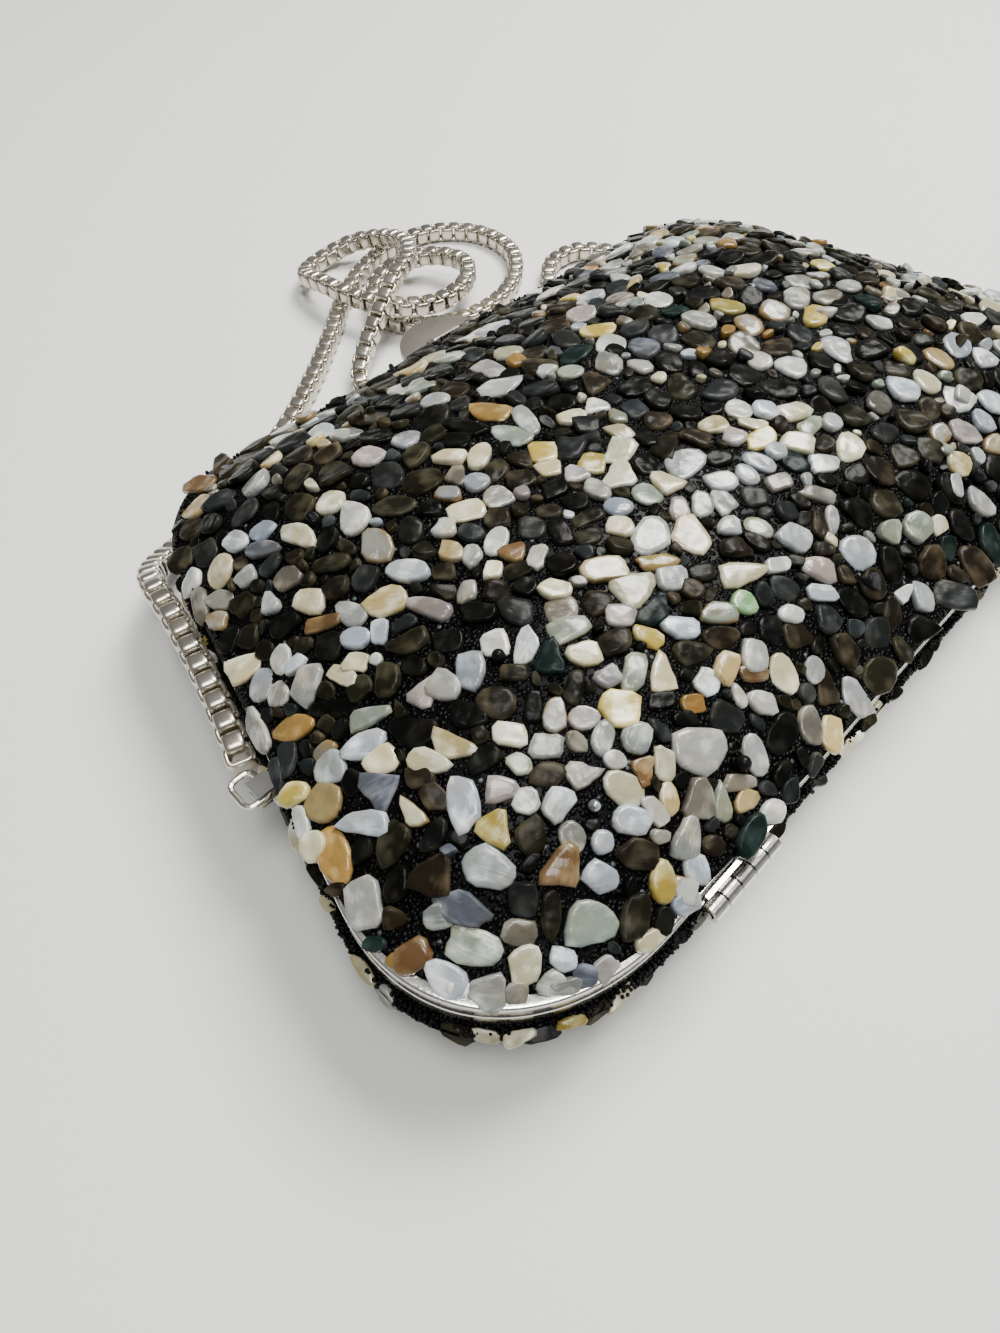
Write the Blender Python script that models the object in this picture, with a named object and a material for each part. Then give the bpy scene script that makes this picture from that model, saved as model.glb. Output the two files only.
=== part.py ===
# A minaudiere: a hard evening bag of two domed pressed pans on polished frames, skinned with shell
# chips and beads, hinged along its long side, held by a round-tongued lever clasp, with a box chain.
# It lies on its back. X runs along the long sides, +Y points to the opening side, Z is up, and the
# origin is the middle of the flat patch on the back that it rests on.
import math
from random import Random

import bmesh
import bpy
from mathutils import Matrix, Vector

MM = 0.001

# Case, measured over the frames and over the tops of the chips
CASE_LENGTH = 183.0 * MM      # halfway between the hinge side and the opening side
CASE_DEPTH = 114.0 * MM
CASE_THICKNESS = 40.0 * MM
TAPER = 0.16                  # share of the half length lost at the opening side, gained at the other
HINGE_CORNER_RADIUS = 32.0 * MM
OPENING_CORNER_RADIUS = 18.0 * MM
PLATEAU_HALF_DEPTH = 10.0 * MM
PLATEAU_CORNER_RADIUS = 8.5 * MM
DOME_POWER = 1.5
CORNER_POINTS = 8
DOME_RINGS = 8

# Frames: a polished band outside and a flange that meets the other frame
PARTING_GAP = 0.3 * MM
BAND_HEIGHT = 3.5 * MM
BAND_WALL = 1.4 * MM
BAND_CHAMFER = 0.35 * MM
FLANGE_WIDTH = 7.0 * MM
FLANGE_THICKNESS = 1.0 * MM

# Layers of each half, from the chips inwards
CLEARANCE = 0.3 * MM
COVER_THICKNESS = 2.4 * MM
SHELL_THICKNESS = 0.9 * MM
LINING_THICKNESS = 0.6 * MM
LAYER_LIP = 0.6 * MM           # upright edge of each layer above the flange
BULGE_OUT = 1.6 * MM          # how far the back's beaded edge stands out from its frame's band
BULGE_START = 0.8 * MM        # from the band to the beaded edge
BULGE_SWELL = 4.5 * MM        # swelling of the back's dome at the band, fading towards the flat patch
BULGE_FADE = 1.2

# Shell chips, as raised cells of the covers
CHIP_HEIGHT = 1.2 * MM
CHIP_SLOPE = 0.9 * MM         # on plan, from a chip's foot to the edge of its top
CHIP_ROWS = 6                 # rings of chip corners from the beaded hem to the flat patch
CHIP_WIDE_ROWS = 4            # of those, the rings with all the columns; the others have half as many
CHIP_COLUMNS = 52
CHIP_PATCH_CHIPS = 3          # across the flat patch
CHIP_UNEVENNESS = 0.14        # how far a corner moves along its ring, as a share of a step

# Hinges
HINGE_SPACING = 113.0 * MM    # between the middles of the two hinges
KNUCKLES = 5
KNUCKLE_LENGTH = 2.7 * MM
BARREL_RADIUS = 1.4 * MM
BARREL_STANDOFF = 0.5 * MM    # from the frame's band to the barrel
HINGE_PIN_RADIUS = 0.5 * MM
HINGE_PIN_OVERHANG = 0.25 * MM
LEAF_THICKNESS = 0.6 * MM
LEAF_STANDOFF = 0.3 * MM
LEAF_HEIGHT = 1.5 * MM
BARREL_SEGMENTS = 20

# Clasp
TONGUE_RADIUS = 11.3 * MM
TONGUE_THICKNESS = 1.2 * MM
TONGUE_CENTRE_OUT = 3.0 * MM  # from the opening side's band to the middle of the tongue's round end
TONGUE_DROP = 0.1 * MM        # from the parting plane down to the tongue's upper face
TONGUE_POINTS = 24
CLASP_PLATE_THICKNESS = 0.6 * MM
CLASP_PLATE_HEIGHT = 2.9 * MM
LUG_THICKNESS = 0.8 * MM
LUG_SPACING = 10.8 * MM       # between the inner faces of the two lugs
LUG_RADIUS = 1.4 * MM
CLASP_PIN_RADIUS = 0.6 * MM
CLASP_PIN_OVERHANG = 0.3 * MM
PIVOT_OUT = 2.6 * MM          # from the opening side's band to the clasp's pivot
PIVOT_RISE = 2.1 * MM         # from the parting plane up to the clasp's pivot
SPRING_LENGTH = 2.3 * MM
SPRING_WIRE_RADIUS = 0.13 * MM
SPRING_TURNS = 3
SPRING_POINTS_PER_TURN = 12
HOOK_WIDTH = 7.0 * MM
HOOK_THICKNESS = 0.8 * MM
HOOK_LENGTH = 2.6 * MM        # from the tongue's lower face to the end of the hook
HOOK_TOE = 0.55 * MM
HOOK_TOE_HEIGHT = 0.9 * MM
KEEPER_WIDTH = 10.0 * MM
KEEPER_HEIGHT = 2.8 * MM
KEEPER_LIP = 0.7 * MM
KEEPER_LIP_HEIGHT = 0.7 * MM

# Chain eyes and rings, at the middle of the short sides
EYE_Y = -1.5 * MM
EYE_WIDTH = 3.4 * MM
EYE_PLATE_THICKNESS = 0.5 * MM
EYE_LUG_THICKNESS = 0.6 * MM
EYE_GAP = 2.0 * MM            # between the eye's two lugs
POST_RADIUS = 0.5 * MM
RING_WIRE_RADIUS = 0.5 * MM
RING_WIDTH = 4.0 * MM         # between wire centres
RING_LENGTH = 5.4 * MM
RING_CORNER = 1.3 * MM
RING_CORNER_POINTS = 4

# Chain
CHAIN_WIDTH = 4.6 * MM
CHAIN_POINTS = 80

HALF_DEPTH = CASE_DEPTH / 2
PARTING_Z = CASE_THICKNESS / 2
PLATEAU_INSET = HALF_DEPTH - PLATEAU_HALF_DEPTH
DOME_HEIGHT = CASE_THICKNESS / 2
BAND_TOP = PARTING_GAP / 2 + BAND_HEIGHT
SEAT_HEIGHT = PARTING_GAP / 2 + FLANGE_THICKNESS + CLEARANCE
COVER_INSET = BAND_WALL + CLEARANCE
BACK, FRONT = -1, 1
QUARTER = math.pi / 2
SHARP_ANGLE = math.radians(35)

# Route of the chain in millimetres, chosen by eye: from the left ring down the short side, round the
# corner, behind the opening side, through the heap of loops and round the far corner to the right ring
CHAIN_ROUTE_MM = (
    (-94.3, 3.6, 18.1), (-92.6, 9.0, 18.5), (-90.2, 18.0, 18.7), (-88.1, 27.0, 18.8),
    (-86.4, 35.5, 18.7), (-85.2, 43.5, 17.6), (-83.4, 51.0, 14.2), (-79.8, 57.6, 9.6),
    (-74.6, 62.9, 5.6), (-68.0, 66.9, 3.0), (-60.5, 69.9, 2.4), (-52.0, 73.2, 2.4),
    (-43.0, 77.5, 2.4), (-31.0, 84.0, 2.4),
    (-16.0, 94.5, 2.4), (-1.5, 106.0, 2.4), (12.0, 117.5, 2.4), (26.0, 126.0, 2.4),
    (41.0, 130.0, 2.4), (54.5, 127.5, 2.4), (63.5, 117.5, 2.4), (63.5, 104.0, 2.4),
    (55.5, 93.5, 2.4), (43.0, 87.0, 2.4), (29.5, 86.5, 2.4), (18.5, 92.0, 2.4),
    (14.0, 102.5, 2.4), (18.5, 112.5, 3.4), (29.0, 117.0, 4.8), (39.5, 112.5, 6.2),
    (42.5, 101.5, 7.4), (35.0, 92.5, 8.0), (22.5, 90.5, 8.0), (12.5, 97.5, 8.2),
    (8.5, 108.5, 8.0), (7.5, 120.0, 7.6), (9.5, 131.5, 4.6), (19.0, 137.5, 3.0),
    (29.5, 134.5, 5.6), (34.0, 125.0, 8.8), (32.5, 114.0, 11.6), (25.0, 104.5, 13.6),
    (15.5, 98.5, 14.2), (6.5, 94.0, 10.6), (-2.5, 90.0, 5.6), (-9.2, 84.4, 2.8),
    (-11.6, 77.0, 2.4), (-8.6, 70.2, 2.4), (-2.0, 66.2, 2.4), (7.0, 64.8, 2.4),
    (15.5, 64.8, 2.4), (25.0, 65.8, 2.4), (36.0, 68.5, 2.4), (47.5, 74.0, 2.4),
    (57.5, 82.5, 2.4), (67.0, 89.5, 2.4), (77.0, 89.0, 2.4), (83.5, 80.5, 2.6),
    (85.0, 70.0, 4.4), (84.4, 60.0, 9.6), (84.4, 51.0, 14.4), (85.2, 43.5, 17.6),
    (86.4, 35.5, 18.7), (88.1, 27.0, 18.8), (90.2, 18.0, 18.7), (92.6, 9.0, 18.5),
    (94.3, 3.6, 18.1),
)


def start_clean():
    for old in list(bpy.data.objects):
        bpy.data.objects.remove(old, do_unlink=True)
    parts = bpy.data.collections.new("minaudiere")
    cutters = bpy.data.collections.new("cutters")
    bpy.context.scene.collection.children.link(parts)
    bpy.context.scene.collection.children.link(cutters)
    return parts, cutters


def surface(name, colour, roughness, metallic):
    material = bpy.data.materials.new(name)
    material.use_nodes = True
    shader = material.node_tree.nodes["Principled BSDF"]
    shader.inputs["Base Color"].default_value = (*colour, 1.0)
    shader.inputs["Roughness"].default_value = roughness
    shader.inputs["Metallic"].default_value = metallic
    material.diffuse_color = (*colour, 1.0)
    return material


PARTS, CUTTERS = start_clean()
NICKEL = surface("polished_nickel", (0.72, 0.70, 0.67), 0.14, 1.0)
PRESSED = surface("pressed_brass", (0.55, 0.45, 0.28), 0.4, 1.0)
CHIPS = surface("shell_chip_cover", (0.09, 0.09, 0.085), 0.3, 0.0)
SATIN = surface("black_satin", (0.02, 0.02, 0.022), 0.5, 0.0)
SPRING_STEEL = surface("spring_steel", (0.5, 0.5, 0.5), 0.3, 1.0)
CHAIN_METAL = surface("chain_nickel", (0.62, 0.59, 0.54), 0.2, 1.0)


def add_object(name, bm, material):
    mesh = bpy.data.meshes.new(name)
    bm.to_mesh(mesh)
    bm.free()
    mesh.materials.append(material)
    part = bpy.data.objects.new(name, mesh)
    PARTS.objects.link(part)
    return part


def make_operand(part):
    PARTS.objects.unlink(part)
    CUTTERS.objects.link(part)
    part.hide_render = True
    part.display_type = "WIRE"
    return part


def combine(part, operand, operation):
    make_operand(operand)
    modifier = part.modifiers.new(operand.name, "BOOLEAN")
    modifier.operation = operation
    modifier.solver = "EXACT"
    modifier.object = operand


def box(name, low, high, material):
    bm = bmesh.new()
    low, high = Vector(low), Vector(high)
    size = Matrix.Diagonal((*(high - low), 1.0))
    bmesh.ops.create_cube(bm, size=1.0, matrix=Matrix.Translation((low + high) / 2) @ size)
    return add_object(name, bm, material)


def rod_along_x(name, x_low, x_high, y, z, radius, segments, material):
    bm = bmesh.new()
    turn = Matrix.Rotation(math.pi / 2, 4, "Y")
    place = Matrix.Translation(((x_low + x_high) / 2, y, z))
    bmesh.ops.create_cone(bm, cap_ends=True, segments=segments, radius1=radius, radius2=radius,
                          depth=x_high - x_low, matrix=place @ turn)
    rod = add_object(name, bm, material)
    rod.data.shade_smooth()
    rod.data.set_sharp_from_angle(angle=SHARP_ANGLE)
    return rod


def slab(name, points, thickness, matrix, material):
    """A flat outline given the thickness: local XY is the outline, local Z runs through it."""
    curve = bpy.data.curves.new(name, "CURVE")
    curve.dimensions = "2D"
    curve.fill_mode = "BOTH"
    curve.extrude = thickness / 2
    spline = curve.splines.new("POLY")
    spline.points.add(len(points) - 1)
    for point, (u, v) in zip(spline.points, points):
        point.co = (u, v, 0.0, 1.0)
    spline.use_cyclic_u = True
    guide = bpy.data.objects.new(name + "_outline", curve)
    PARTS.objects.link(guide)
    guide.matrix_world = matrix
    bpy.context.view_layer.update()
    evaluated = guide.evaluated_get(bpy.context.evaluated_depsgraph_get())
    mesh = bpy.data.meshes.new_from_object(evaluated)
    bm = bmesh.new()
    bm.from_mesh(mesh)
    bmesh.ops.remove_doubles(bm, verts=bm.verts, dist=0.01 * MM)
    bmesh.ops.recalc_face_normals(bm, faces=bm.faces)
    bm.transform(guide.matrix_world)
    bpy.data.objects.remove(guide, do_unlink=True)
    bpy.data.meshes.remove(mesh)
    return add_object(name, bm, material)


def tube(name, points, radius, sides_per_quarter, cyclic, material):
    curve = bpy.data.curves.new(name, "CURVE")
    curve.dimensions = "3D"
    curve.bevel_depth = radius
    curve.bevel_resolution = sides_per_quarter
    curve.use_fill_caps = not cyclic
    spline = curve.splines.new("POLY")
    spline.points.add(len(points) - 1)
    for point, place in zip(spline.points, points):
        point.co = (*place, 1.0)
    spline.use_cyclic_u = cyclic
    curve.materials.append(material)
    part = bpy.data.objects.new(name, curve)
    PARTS.objects.link(part)
    return part


def arc(centre_u, centre_v, radius, start, end, count):
    turn = (end - start) / (count - 1)
    return [(centre_u + radius * math.cos(start + turn * i), centre_v + radius * math.sin(start + turn * i))
            for i in range(count)]


def half_length_at(y):
    return CASE_LENGTH / 2 * (1 - TAPER * y / HALF_DEPTH)


def corner_radius(at_frame, inset):
    """A corner's radius on plan, going evenly from its own at the frame to the flat patch's."""
    radius = at_frame + (PLATEAU_CORNER_RADIUS - at_frame) * inset / PLATEAU_INSET
    return min(radius, 0.95 * (HALF_DEPTH - inset))


def case_outline(inset, z):
    """The rounded, tapered plan of the case moved inwards, with one point in the middle of each side."""
    half_length = CASE_LENGTH / 2 - inset
    half_depth = HALF_DEPTH - inset
    radius = corner_radius(OPENING_CORNER_RADIUS, inset)
    u, v = half_length - radius, half_depth - radius
    points = [(half_length, 0.0)]
    points += arc(u, v, radius, 0.0, QUARTER, CORNER_POINTS) + [(0.0, half_depth)]
    points += arc(-u, v, radius, QUARTER, 2 * QUARTER, CORNER_POINTS) + [(-half_length, 0.0)]
    radius = corner_radius(HINGE_CORNER_RADIUS, inset)
    u, v = half_length - radius, half_depth - radius
    points += arc(-u, -v, radius, 2 * QUARTER, 3 * QUARTER, CORNER_POINTS) + [(0.0, -half_depth)]
    points += arc(u, -v, radius, 3 * QUARTER, 4 * QUARTER, CORNER_POINTS)
    return [Vector((x * (1 - TAPER * y / HALF_DEPTH), y, z)) for x, y in points]


def skin_rings(bm, rings, closed):
    """Quads between neighbouring rings, and from the last ring back to the first if closed."""
    count = len(rings[0])
    verts = [[bm.verts.new(place) for place in ring] for ring in rings]
    last = len(rings) if closed else len(rings) - 1
    for i in range(last):
        lower, upper = verts[i], verts[(i + 1) % len(rings)]
        for j in range(count):
            k = (j + 1) % count
            bm.faces.new((lower[j], lower[k], upper[k], upper[j]))
    return verts


def dome_profile(depth_below, bulges=False, steps=DOME_RINGS):
    """Inset and height of the dome's section, that far below the chip tops, from the frame to the top.

    It rises straight behind the band, then follows a superellipse to the flat patch. With a bulge it
    first steps out past the band.
    """
    width = PLATEAU_INSET - COVER_INSET
    rise = DOME_HEIGHT - BAND_TOP
    wall = COVER_INSET + depth_below
    points = [(wall, SEAT_HEIGHT), (wall, SEAT_HEIGHT + LAYER_LIP)]
    if bulges:
        edge = BAND_TOP + BULGE_START
        points += [(wall, edge), (BULGE_START - BULGE_OUT, edge), (-BULGE_OUT, edge + BULGE_START / 2)]
    elif depth_below == 0:
        points.append((wall, BAND_TOP))
    for i in range(1, steps + 1):
        t = 1 - math.cos(i / steps * math.pi / 2)
        rest = 1 - t
        share = (1 - rest ** DOME_POWER) ** (1 / DOME_POWER)
        slope = (rise / width * rest ** (DOME_POWER - 1)
                 * (1 - rest ** DOME_POWER) ** (1 / DOME_POWER - 1))
        steep = math.hypot(1, slope)
        inset = max(COVER_INSET + width * t + depth_below * slope / steep, wall)
        if bulges:
            inset -= BULGE_SWELL * (1 - share) ** BULGE_FADE
        points.append((inset, BAND_TOP + rise * share - depth_below / steep))
    return points


def finish_layer(name, bm, material):
    layer = add_object(name, bm, material)
    layer.data.shade_smooth()
    layer.data.set_sharp_from_angle(angle=SHARP_ANGLE)
    return layer


def domed_layer(name, side, depth_below, thickness, material):
    """One pressed or sewn layer of a half: an inner and an outer dome joined at the frame."""
    profile = dome_profile(depth_below + thickness)[::-1] + dome_profile(depth_below)
    bm = bmesh.new()
    rings = [case_outline(inset, PARTING_Z + side * height) for inset, height in profile]
    verts = skin_rings(bm, rings, closed=False)
    bm.faces.new(verts[0])
    bm.faces.new(verts[-1])
    bmesh.ops.recalc_face_normals(bm, faces=bm.faces)
    return finish_layer(name, bm, material)


def even_steps(path, steps, unevenness=None):
    """Points at even steps along a path, the first one on its start, and the path's length.

    The unevenness, if given, is a function that moves a point by a share of a step.
    """
    walked = [0.0]
    for here, there in zip(path, path[1:]):
        walked.append(walked[-1] + (there - here).length)
    points = []
    index = 0
    for i in range(steps):
        shift = unevenness() if unevenness and i else 0.0
        goal = walked[-1] * min((i + shift) / steps, 1.0)
        while index < len(path) - 2 and walked[index + 1] < goal:
            index += 1
        share = (goal - walked[index]) / (walked[index + 1] - walked[index])
        points.append(path[index].lerp(path[index + 1], min(share, 1.0)))
    return points, walked[-1]


def shares_round(verts):
    """How far round its ring each point is, as a share, and 1 for the first again."""
    walked = [0.0]
    for here, there in zip(verts, verts[1:] + verts[:1]):
        walked.append(walked[-1] + (there.co - here.co).length)
    return [length / walked[-1] for length in walked]


def zip_rings(bm, lower, upper):
    """Triangles between two rings with unlike numbers of points."""
    lower_shares, upper_shares = shares_round(lower), shares_round(upper)
    i = j = 0
    while i < len(lower) or j < len(upper):
        here, above = lower[i % len(lower)], upper[j % len(upper)]
        if j == len(upper) or (i < len(lower) and lower_shares[i + 1] <= upper_shares[j + 1]):
            i += 1
            bm.faces.new((here, lower[i % len(lower)], above))
        else:
            j += 1
            bm.faces.new((here, upper[j % len(upper)], above))


def chip_row(bm, lower, upper):
    """One cell for each step of the upper ring, over one or more steps of the lower."""
    wide = len(lower) // len(upper)
    cells = []
    for j in range(len(upper)):
        foot = [lower[(wide * j + k) % len(lower)] for k in range(wide + 1)]
        cells.append(bm.faces.new(foot + [upper[(j + 1) % len(upper)], upper[j]]))
    return cells


def chip_patch(bm, ring):
    """Cells over the flat patch, on lines from one long side of its ring to the other."""
    half = len(ring) // 2
    lines = []
    for near, far in zip(ring[1:half], ring[:half:-1]):
        shares = [k / CHIP_PATCH_CHIPS for k in range(1, CHIP_PATCH_CHIPS)]
        between = [bm.verts.new(near.co.lerp(far.co, share)) for share in shares]
        lines.append([near] + between + [far])
    cells = [bm.faces.new([ring[0]] + lines[0]), bm.faces.new([ring[half]] + lines[-1][::-1])]
    for line, following in zip(lines, lines[1:]):
        for k in range(CHIP_PATCH_CHIPS):
            cells.append(bm.faces.new((line[k], following[k], following[k + 1], line[k + 1])))
    return cells


def cover(name, side, bulges):
    """Cloth and chips: a smooth dome inside, a beaded hem, and raised cells for the chips outside."""
    chance = Random(name)
    hem = dome_profile(0.0, bulges)[:-DOME_RINGS]
    profile = dome_profile(COVER_THICKNESS)[::-1] + hem
    bm = bmesh.new()
    rings = [case_outline(inset, PARTING_Z + side * height) for inset, height in profile]
    verts = skin_rings(bm, rings, closed=False)
    bm.faces.new(verts[0])
    chip_rings = []
    for row, (inset, height) in enumerate(dome_profile(CHIP_HEIGHT, bulges, CHIP_ROWS)[-CHIP_ROWS:]):
        outline = case_outline(inset, PARTING_Z + side * height)
        columns = CHIP_COLUMNS if row < CHIP_WIDE_ROWS else CHIP_COLUMNS // 2
        corners, _ = even_steps(outline + outline[:1], columns,
                                lambda: chance.uniform(-CHIP_UNEVENNESS, CHIP_UNEVENNESS))
        chip_rings.append([bm.verts.new(corner) for corner in corners])
    zip_rings(bm, verts[-1], chip_rings[0])
    domed = [cell for pair in zip(chip_rings, chip_rings[1:]) for cell in chip_row(bm, *pair)]
    flat = chip_patch(bm, chip_rings[-1])
    bmesh.ops.recalc_face_normals(bm, faces=bm.faces)
    for cell in domed:
        bmesh.ops.inset_individual(bm, faces=[cell], thickness=CHIP_SLOPE * chance.uniform(0.8, 1.3),
                                   depth=CHIP_HEIGHT * chance.uniform(0.8, 1.0), use_even_offset=True)
    bmesh.ops.inset_individual(bm, faces=flat, thickness=CHIP_SLOPE, depth=CHIP_HEIGHT, use_even_offset=True)
    return finish_layer(name, bm, CHIPS)


def frame(name, side):
    """An L section carried round the case: a band outside and a flange against the other frame."""
    low, high = PARTING_GAP / 2, PARTING_GAP / 2 + BAND_HEIGHT
    flange_top = low + FLANGE_THICKNESS
    section = [(0.0, low), (0.0, high - BAND_CHAMFER), (BAND_CHAMFER, high), (BAND_WALL, high),
               (BAND_WALL, flange_top), (FLANGE_WIDTH, flange_top), (FLANGE_WIDTH, low)]
    bm = bmesh.new()
    rings = [case_outline(inset, PARTING_Z + side * height) for inset, height in section]
    skin_rings(bm, rings, closed=True)
    bmesh.ops.recalc_face_normals(bm, faces=bm.faces)
    ring = add_object(name, bm, NICKEL)
    ring.data.shade_smooth()
    ring.data.set_sharp_from_angle(angle=SHARP_ANGLE)
    return ring


ALONG_X = Matrix(((0, 0, 1, 0), (1, 0, 0, 0), (0, 1, 0, 0), (0, 0, 0, 1)))   # outline in Y and Z
ALONG_Y = Matrix(((1, 0, 0, 0), (0, 0, -1, 0), (0, 1, 0, 0), (0, 0, 0, 1)))  # outline in X and Z

HINGE_Y = -(HALF_DEPTH + BARREL_STANDOFF + BARREL_RADIUS)
BARREL_LENGTH = KNUCKLES * KNUCKLE_LENGTH + (KNUCKLES - 1) * CLEARANCE


def hinge_leaf(name, centre_x, side, knuckles):
    """A strip on the band with some of the barrel's knuckles, each on its own web."""
    left = centre_x - BARREL_LENGTH / 2
    face_y = -(HALF_DEPTH + LEAF_STANDOFF)
    edge = PARTING_Z + side * (PARTING_GAP / 2 + BAND_HEIGHT)
    barrel_edge = edge - side * LEAF_HEIGHT
    leaf = box(name, (left, face_y - LEAF_THICKNESS, min(edge, barrel_edge)),
               (left + BARREL_LENGTH, face_y, max(edge, barrel_edge)), NICKEL)
    for number in knuckles:
        x_low = left + number * (KNUCKLE_LENGTH + CLEARANCE)
        x_high = x_low + KNUCKLE_LENGTH
        inner = (edge + barrel_edge) / 2
        web = box(f"{name}_web_{number}", (x_low, face_y - LEAF_THICKNESS, min(inner, PARTING_Z)),
                  (x_high, face_y, max(inner, PARTING_Z)), NICKEL)
        barrel = rod_along_x(f"{name}_knuckle_{number}", x_low, x_high, HINGE_Y, PARTING_Z,
                             BARREL_RADIUS, BARREL_SEGMENTS, NICKEL)
        combine(leaf, web, "UNION")
        combine(leaf, barrel, "UNION")
    bore = rod_along_x(name + "_bore", left - BARREL_LENGTH, left + 2 * BARREL_LENGTH, HINGE_Y, PARTING_Z,
                       HINGE_PIN_RADIUS + CLEARANCE, BARREL_SEGMENTS, NICKEL)
    combine(leaf, bore, "DIFFERENCE")
    return leaf


def hinge(side_name, centre_x):
    hinge_leaf(f"hinge_{side_name}_back_leaf", centre_x, BACK, range(0, KNUCKLES, 2))
    hinge_leaf(f"hinge_{side_name}_front_leaf", centre_x, FRONT, range(1, KNUCKLES, 2))
    reach = BARREL_LENGTH / 2 + HINGE_PIN_OVERHANG
    rod_along_x(f"hinge_{side_name}_pin", centre_x - reach, centre_x + reach, HINGE_Y, PARTING_Z,
                HINGE_PIN_RADIUS, BARREL_SEGMENTS, NICKEL)


CLASP_FACE_Y = HALF_DEPTH + CLEARANCE
PIVOT_Y = HALF_DEPTH + PIVOT_OUT
PIVOT_Z = PARTING_Z + PIVOT_RISE
TONGUE_TOP = PARTING_Z - TONGUE_DROP
TONGUE_BOTTOM = TONGUE_TOP - TONGUE_THICKNESS
LEVER_BARREL_LOW = -LUG_SPACING / 2 + CLEARANCE
LEVER_BARREL_HIGH = LUG_SPACING / 2 - 2 * CLEARANCE - SPRING_LENGTH


def clasp_bracket():
    """A plate on the front frame's band with two lugs for the pin."""
    half = LUG_SPACING / 2 + LUG_THICKNESS
    top = PARTING_Z + PARTING_GAP / 2 + BAND_HEIGHT
    bracket = box("clasp_bracket", (-half, CLASP_FACE_Y, top - CLASP_PLATE_HEIGHT),
                  (half, CLASP_FACE_Y + CLASP_PLATE_THICKNESS, top), NICKEL)
    root = CLASP_FACE_Y + CLASP_PLATE_THICKNESS / 2
    outline = [(root, PIVOT_Z - LUG_RADIUS)] + arc(PIVOT_Y, PIVOT_Z, LUG_RADIUS, -QUARTER, QUARTER, 9)
    outline += [(root, PIVOT_Z + LUG_RADIUS)]
    for name, x in (("left", -half + LUG_THICKNESS / 2), ("right", half - LUG_THICKNESS / 2)):
        place = Matrix.Translation((x, 0, 0)) @ ALONG_X
        lug = slab(f"clasp_lug_{name}", outline, LUG_THICKNESS, place, NICKEL)
        combine(bracket, lug, "UNION")
    bore = rod_along_x("clasp_lug_bore", -2 * half, 2 * half, PIVOT_Y, PIVOT_Z,
                       CLASP_PIN_RADIUS + CLEARANCE, BARREL_SEGMENTS, NICKEL)
    combine(bracket, bore, "DIFFERENCE")
    reach = half + CLASP_PIN_OVERHANG
    rod_along_x("clasp_pin", -reach, reach, PIVOT_Y, PIVOT_Z, CLASP_PIN_RADIUS, BARREL_SEGMENTS, NICKEL)


def clasp_lever():
    """The round tongue, its barrel on the pin, and the hook that reaches down past the keeper."""
    centre_y = HALF_DEPTH + TONGUE_CENTRE_OUT
    root_y = PIVOT_Y - LUG_RADIUS
    outline = arc(0.0, centre_y, TONGUE_RADIUS, 0.0, math.pi, TONGUE_POINTS)
    outline += [(-TONGUE_RADIUS, root_y), (TONGUE_RADIUS, root_y)]
    middle = (TONGUE_TOP + TONGUE_BOTTOM) / 2
    lever = slab("clasp_lever", outline, TONGUE_THICKNESS, Matrix.Translation((0, 0, middle)), NICKEL)
    leg_y = HALF_DEPTH + CLEARANCE + CLASP_PLATE_THICKNESS + KEEPER_LIP + CLEARANCE + HOOK_TOE
    end_z = TONGUE_BOTTOM - HOOK_LENGTH
    hook = [(leg_y, PIVOT_Z), (leg_y, end_z + HOOK_TOE_HEIGHT), (leg_y - HOOK_TOE, end_z + HOOK_TOE_HEIGHT),
            (leg_y - HOOK_TOE, end_z), (leg_y + HOOK_THICKNESS, end_z), (leg_y + HOOK_THICKNESS, PIVOT_Z)]
    leg = slab("clasp_hook", hook, HOOK_WIDTH, ALONG_X, NICKEL)
    leg_end = LEVER_BARREL_HIGH - HOOK_WIDTH / 2
    leg.data.transform(Matrix.Translation((min(0.0, leg_end), 0, 0)))
    barrel = rod_along_x("clasp_barrel", LEVER_BARREL_LOW, LEVER_BARREL_HIGH, PIVOT_Y, PIVOT_Z,
                         LUG_RADIUS, BARREL_SEGMENTS, NICKEL)
    bore = rod_along_x("clasp_barrel_bore", -LUG_SPACING, LUG_SPACING, PIVOT_Y, PIVOT_Z,
                       CLASP_PIN_RADIUS + CLEARANCE, BARREL_SEGMENTS, NICKEL)
    combine(lever, leg, "UNION")
    combine(lever, barrel, "UNION")
    combine(lever, bore, "DIFFERENCE")


def clasp_spring():
    """A torsion spring round the pin, between the lever's barrel and the right lug."""
    mean_radius = CLASP_PIN_RADIUS + CLEARANCE + SPRING_WIRE_RADIUS
    start = LEVER_BARREL_HIGH + CLEARANCE + SPRING_WIRE_RADIUS
    length = SPRING_LENGTH - 2 * SPRING_WIRE_RADIUS
    steps = SPRING_POINTS_PER_TURN * SPRING_TURNS
    points = []
    for i in range(steps + 1):
        angle = math.tau * SPRING_TURNS * i / steps
        points.append((start + length * i / steps, PIVOT_Y + mean_radius * math.cos(angle),
                       PIVOT_Z + mean_radius * math.sin(angle)))
    pitch = length / SPRING_TURNS
    print(f"least gap between the spring's turns: {(pitch - 2 * SPRING_WIRE_RADIUS) / MM:.2f} mm")
    tube("clasp_spring", points, SPRING_WIRE_RADIUS, 1, False, SPRING_STEEL)


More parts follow.
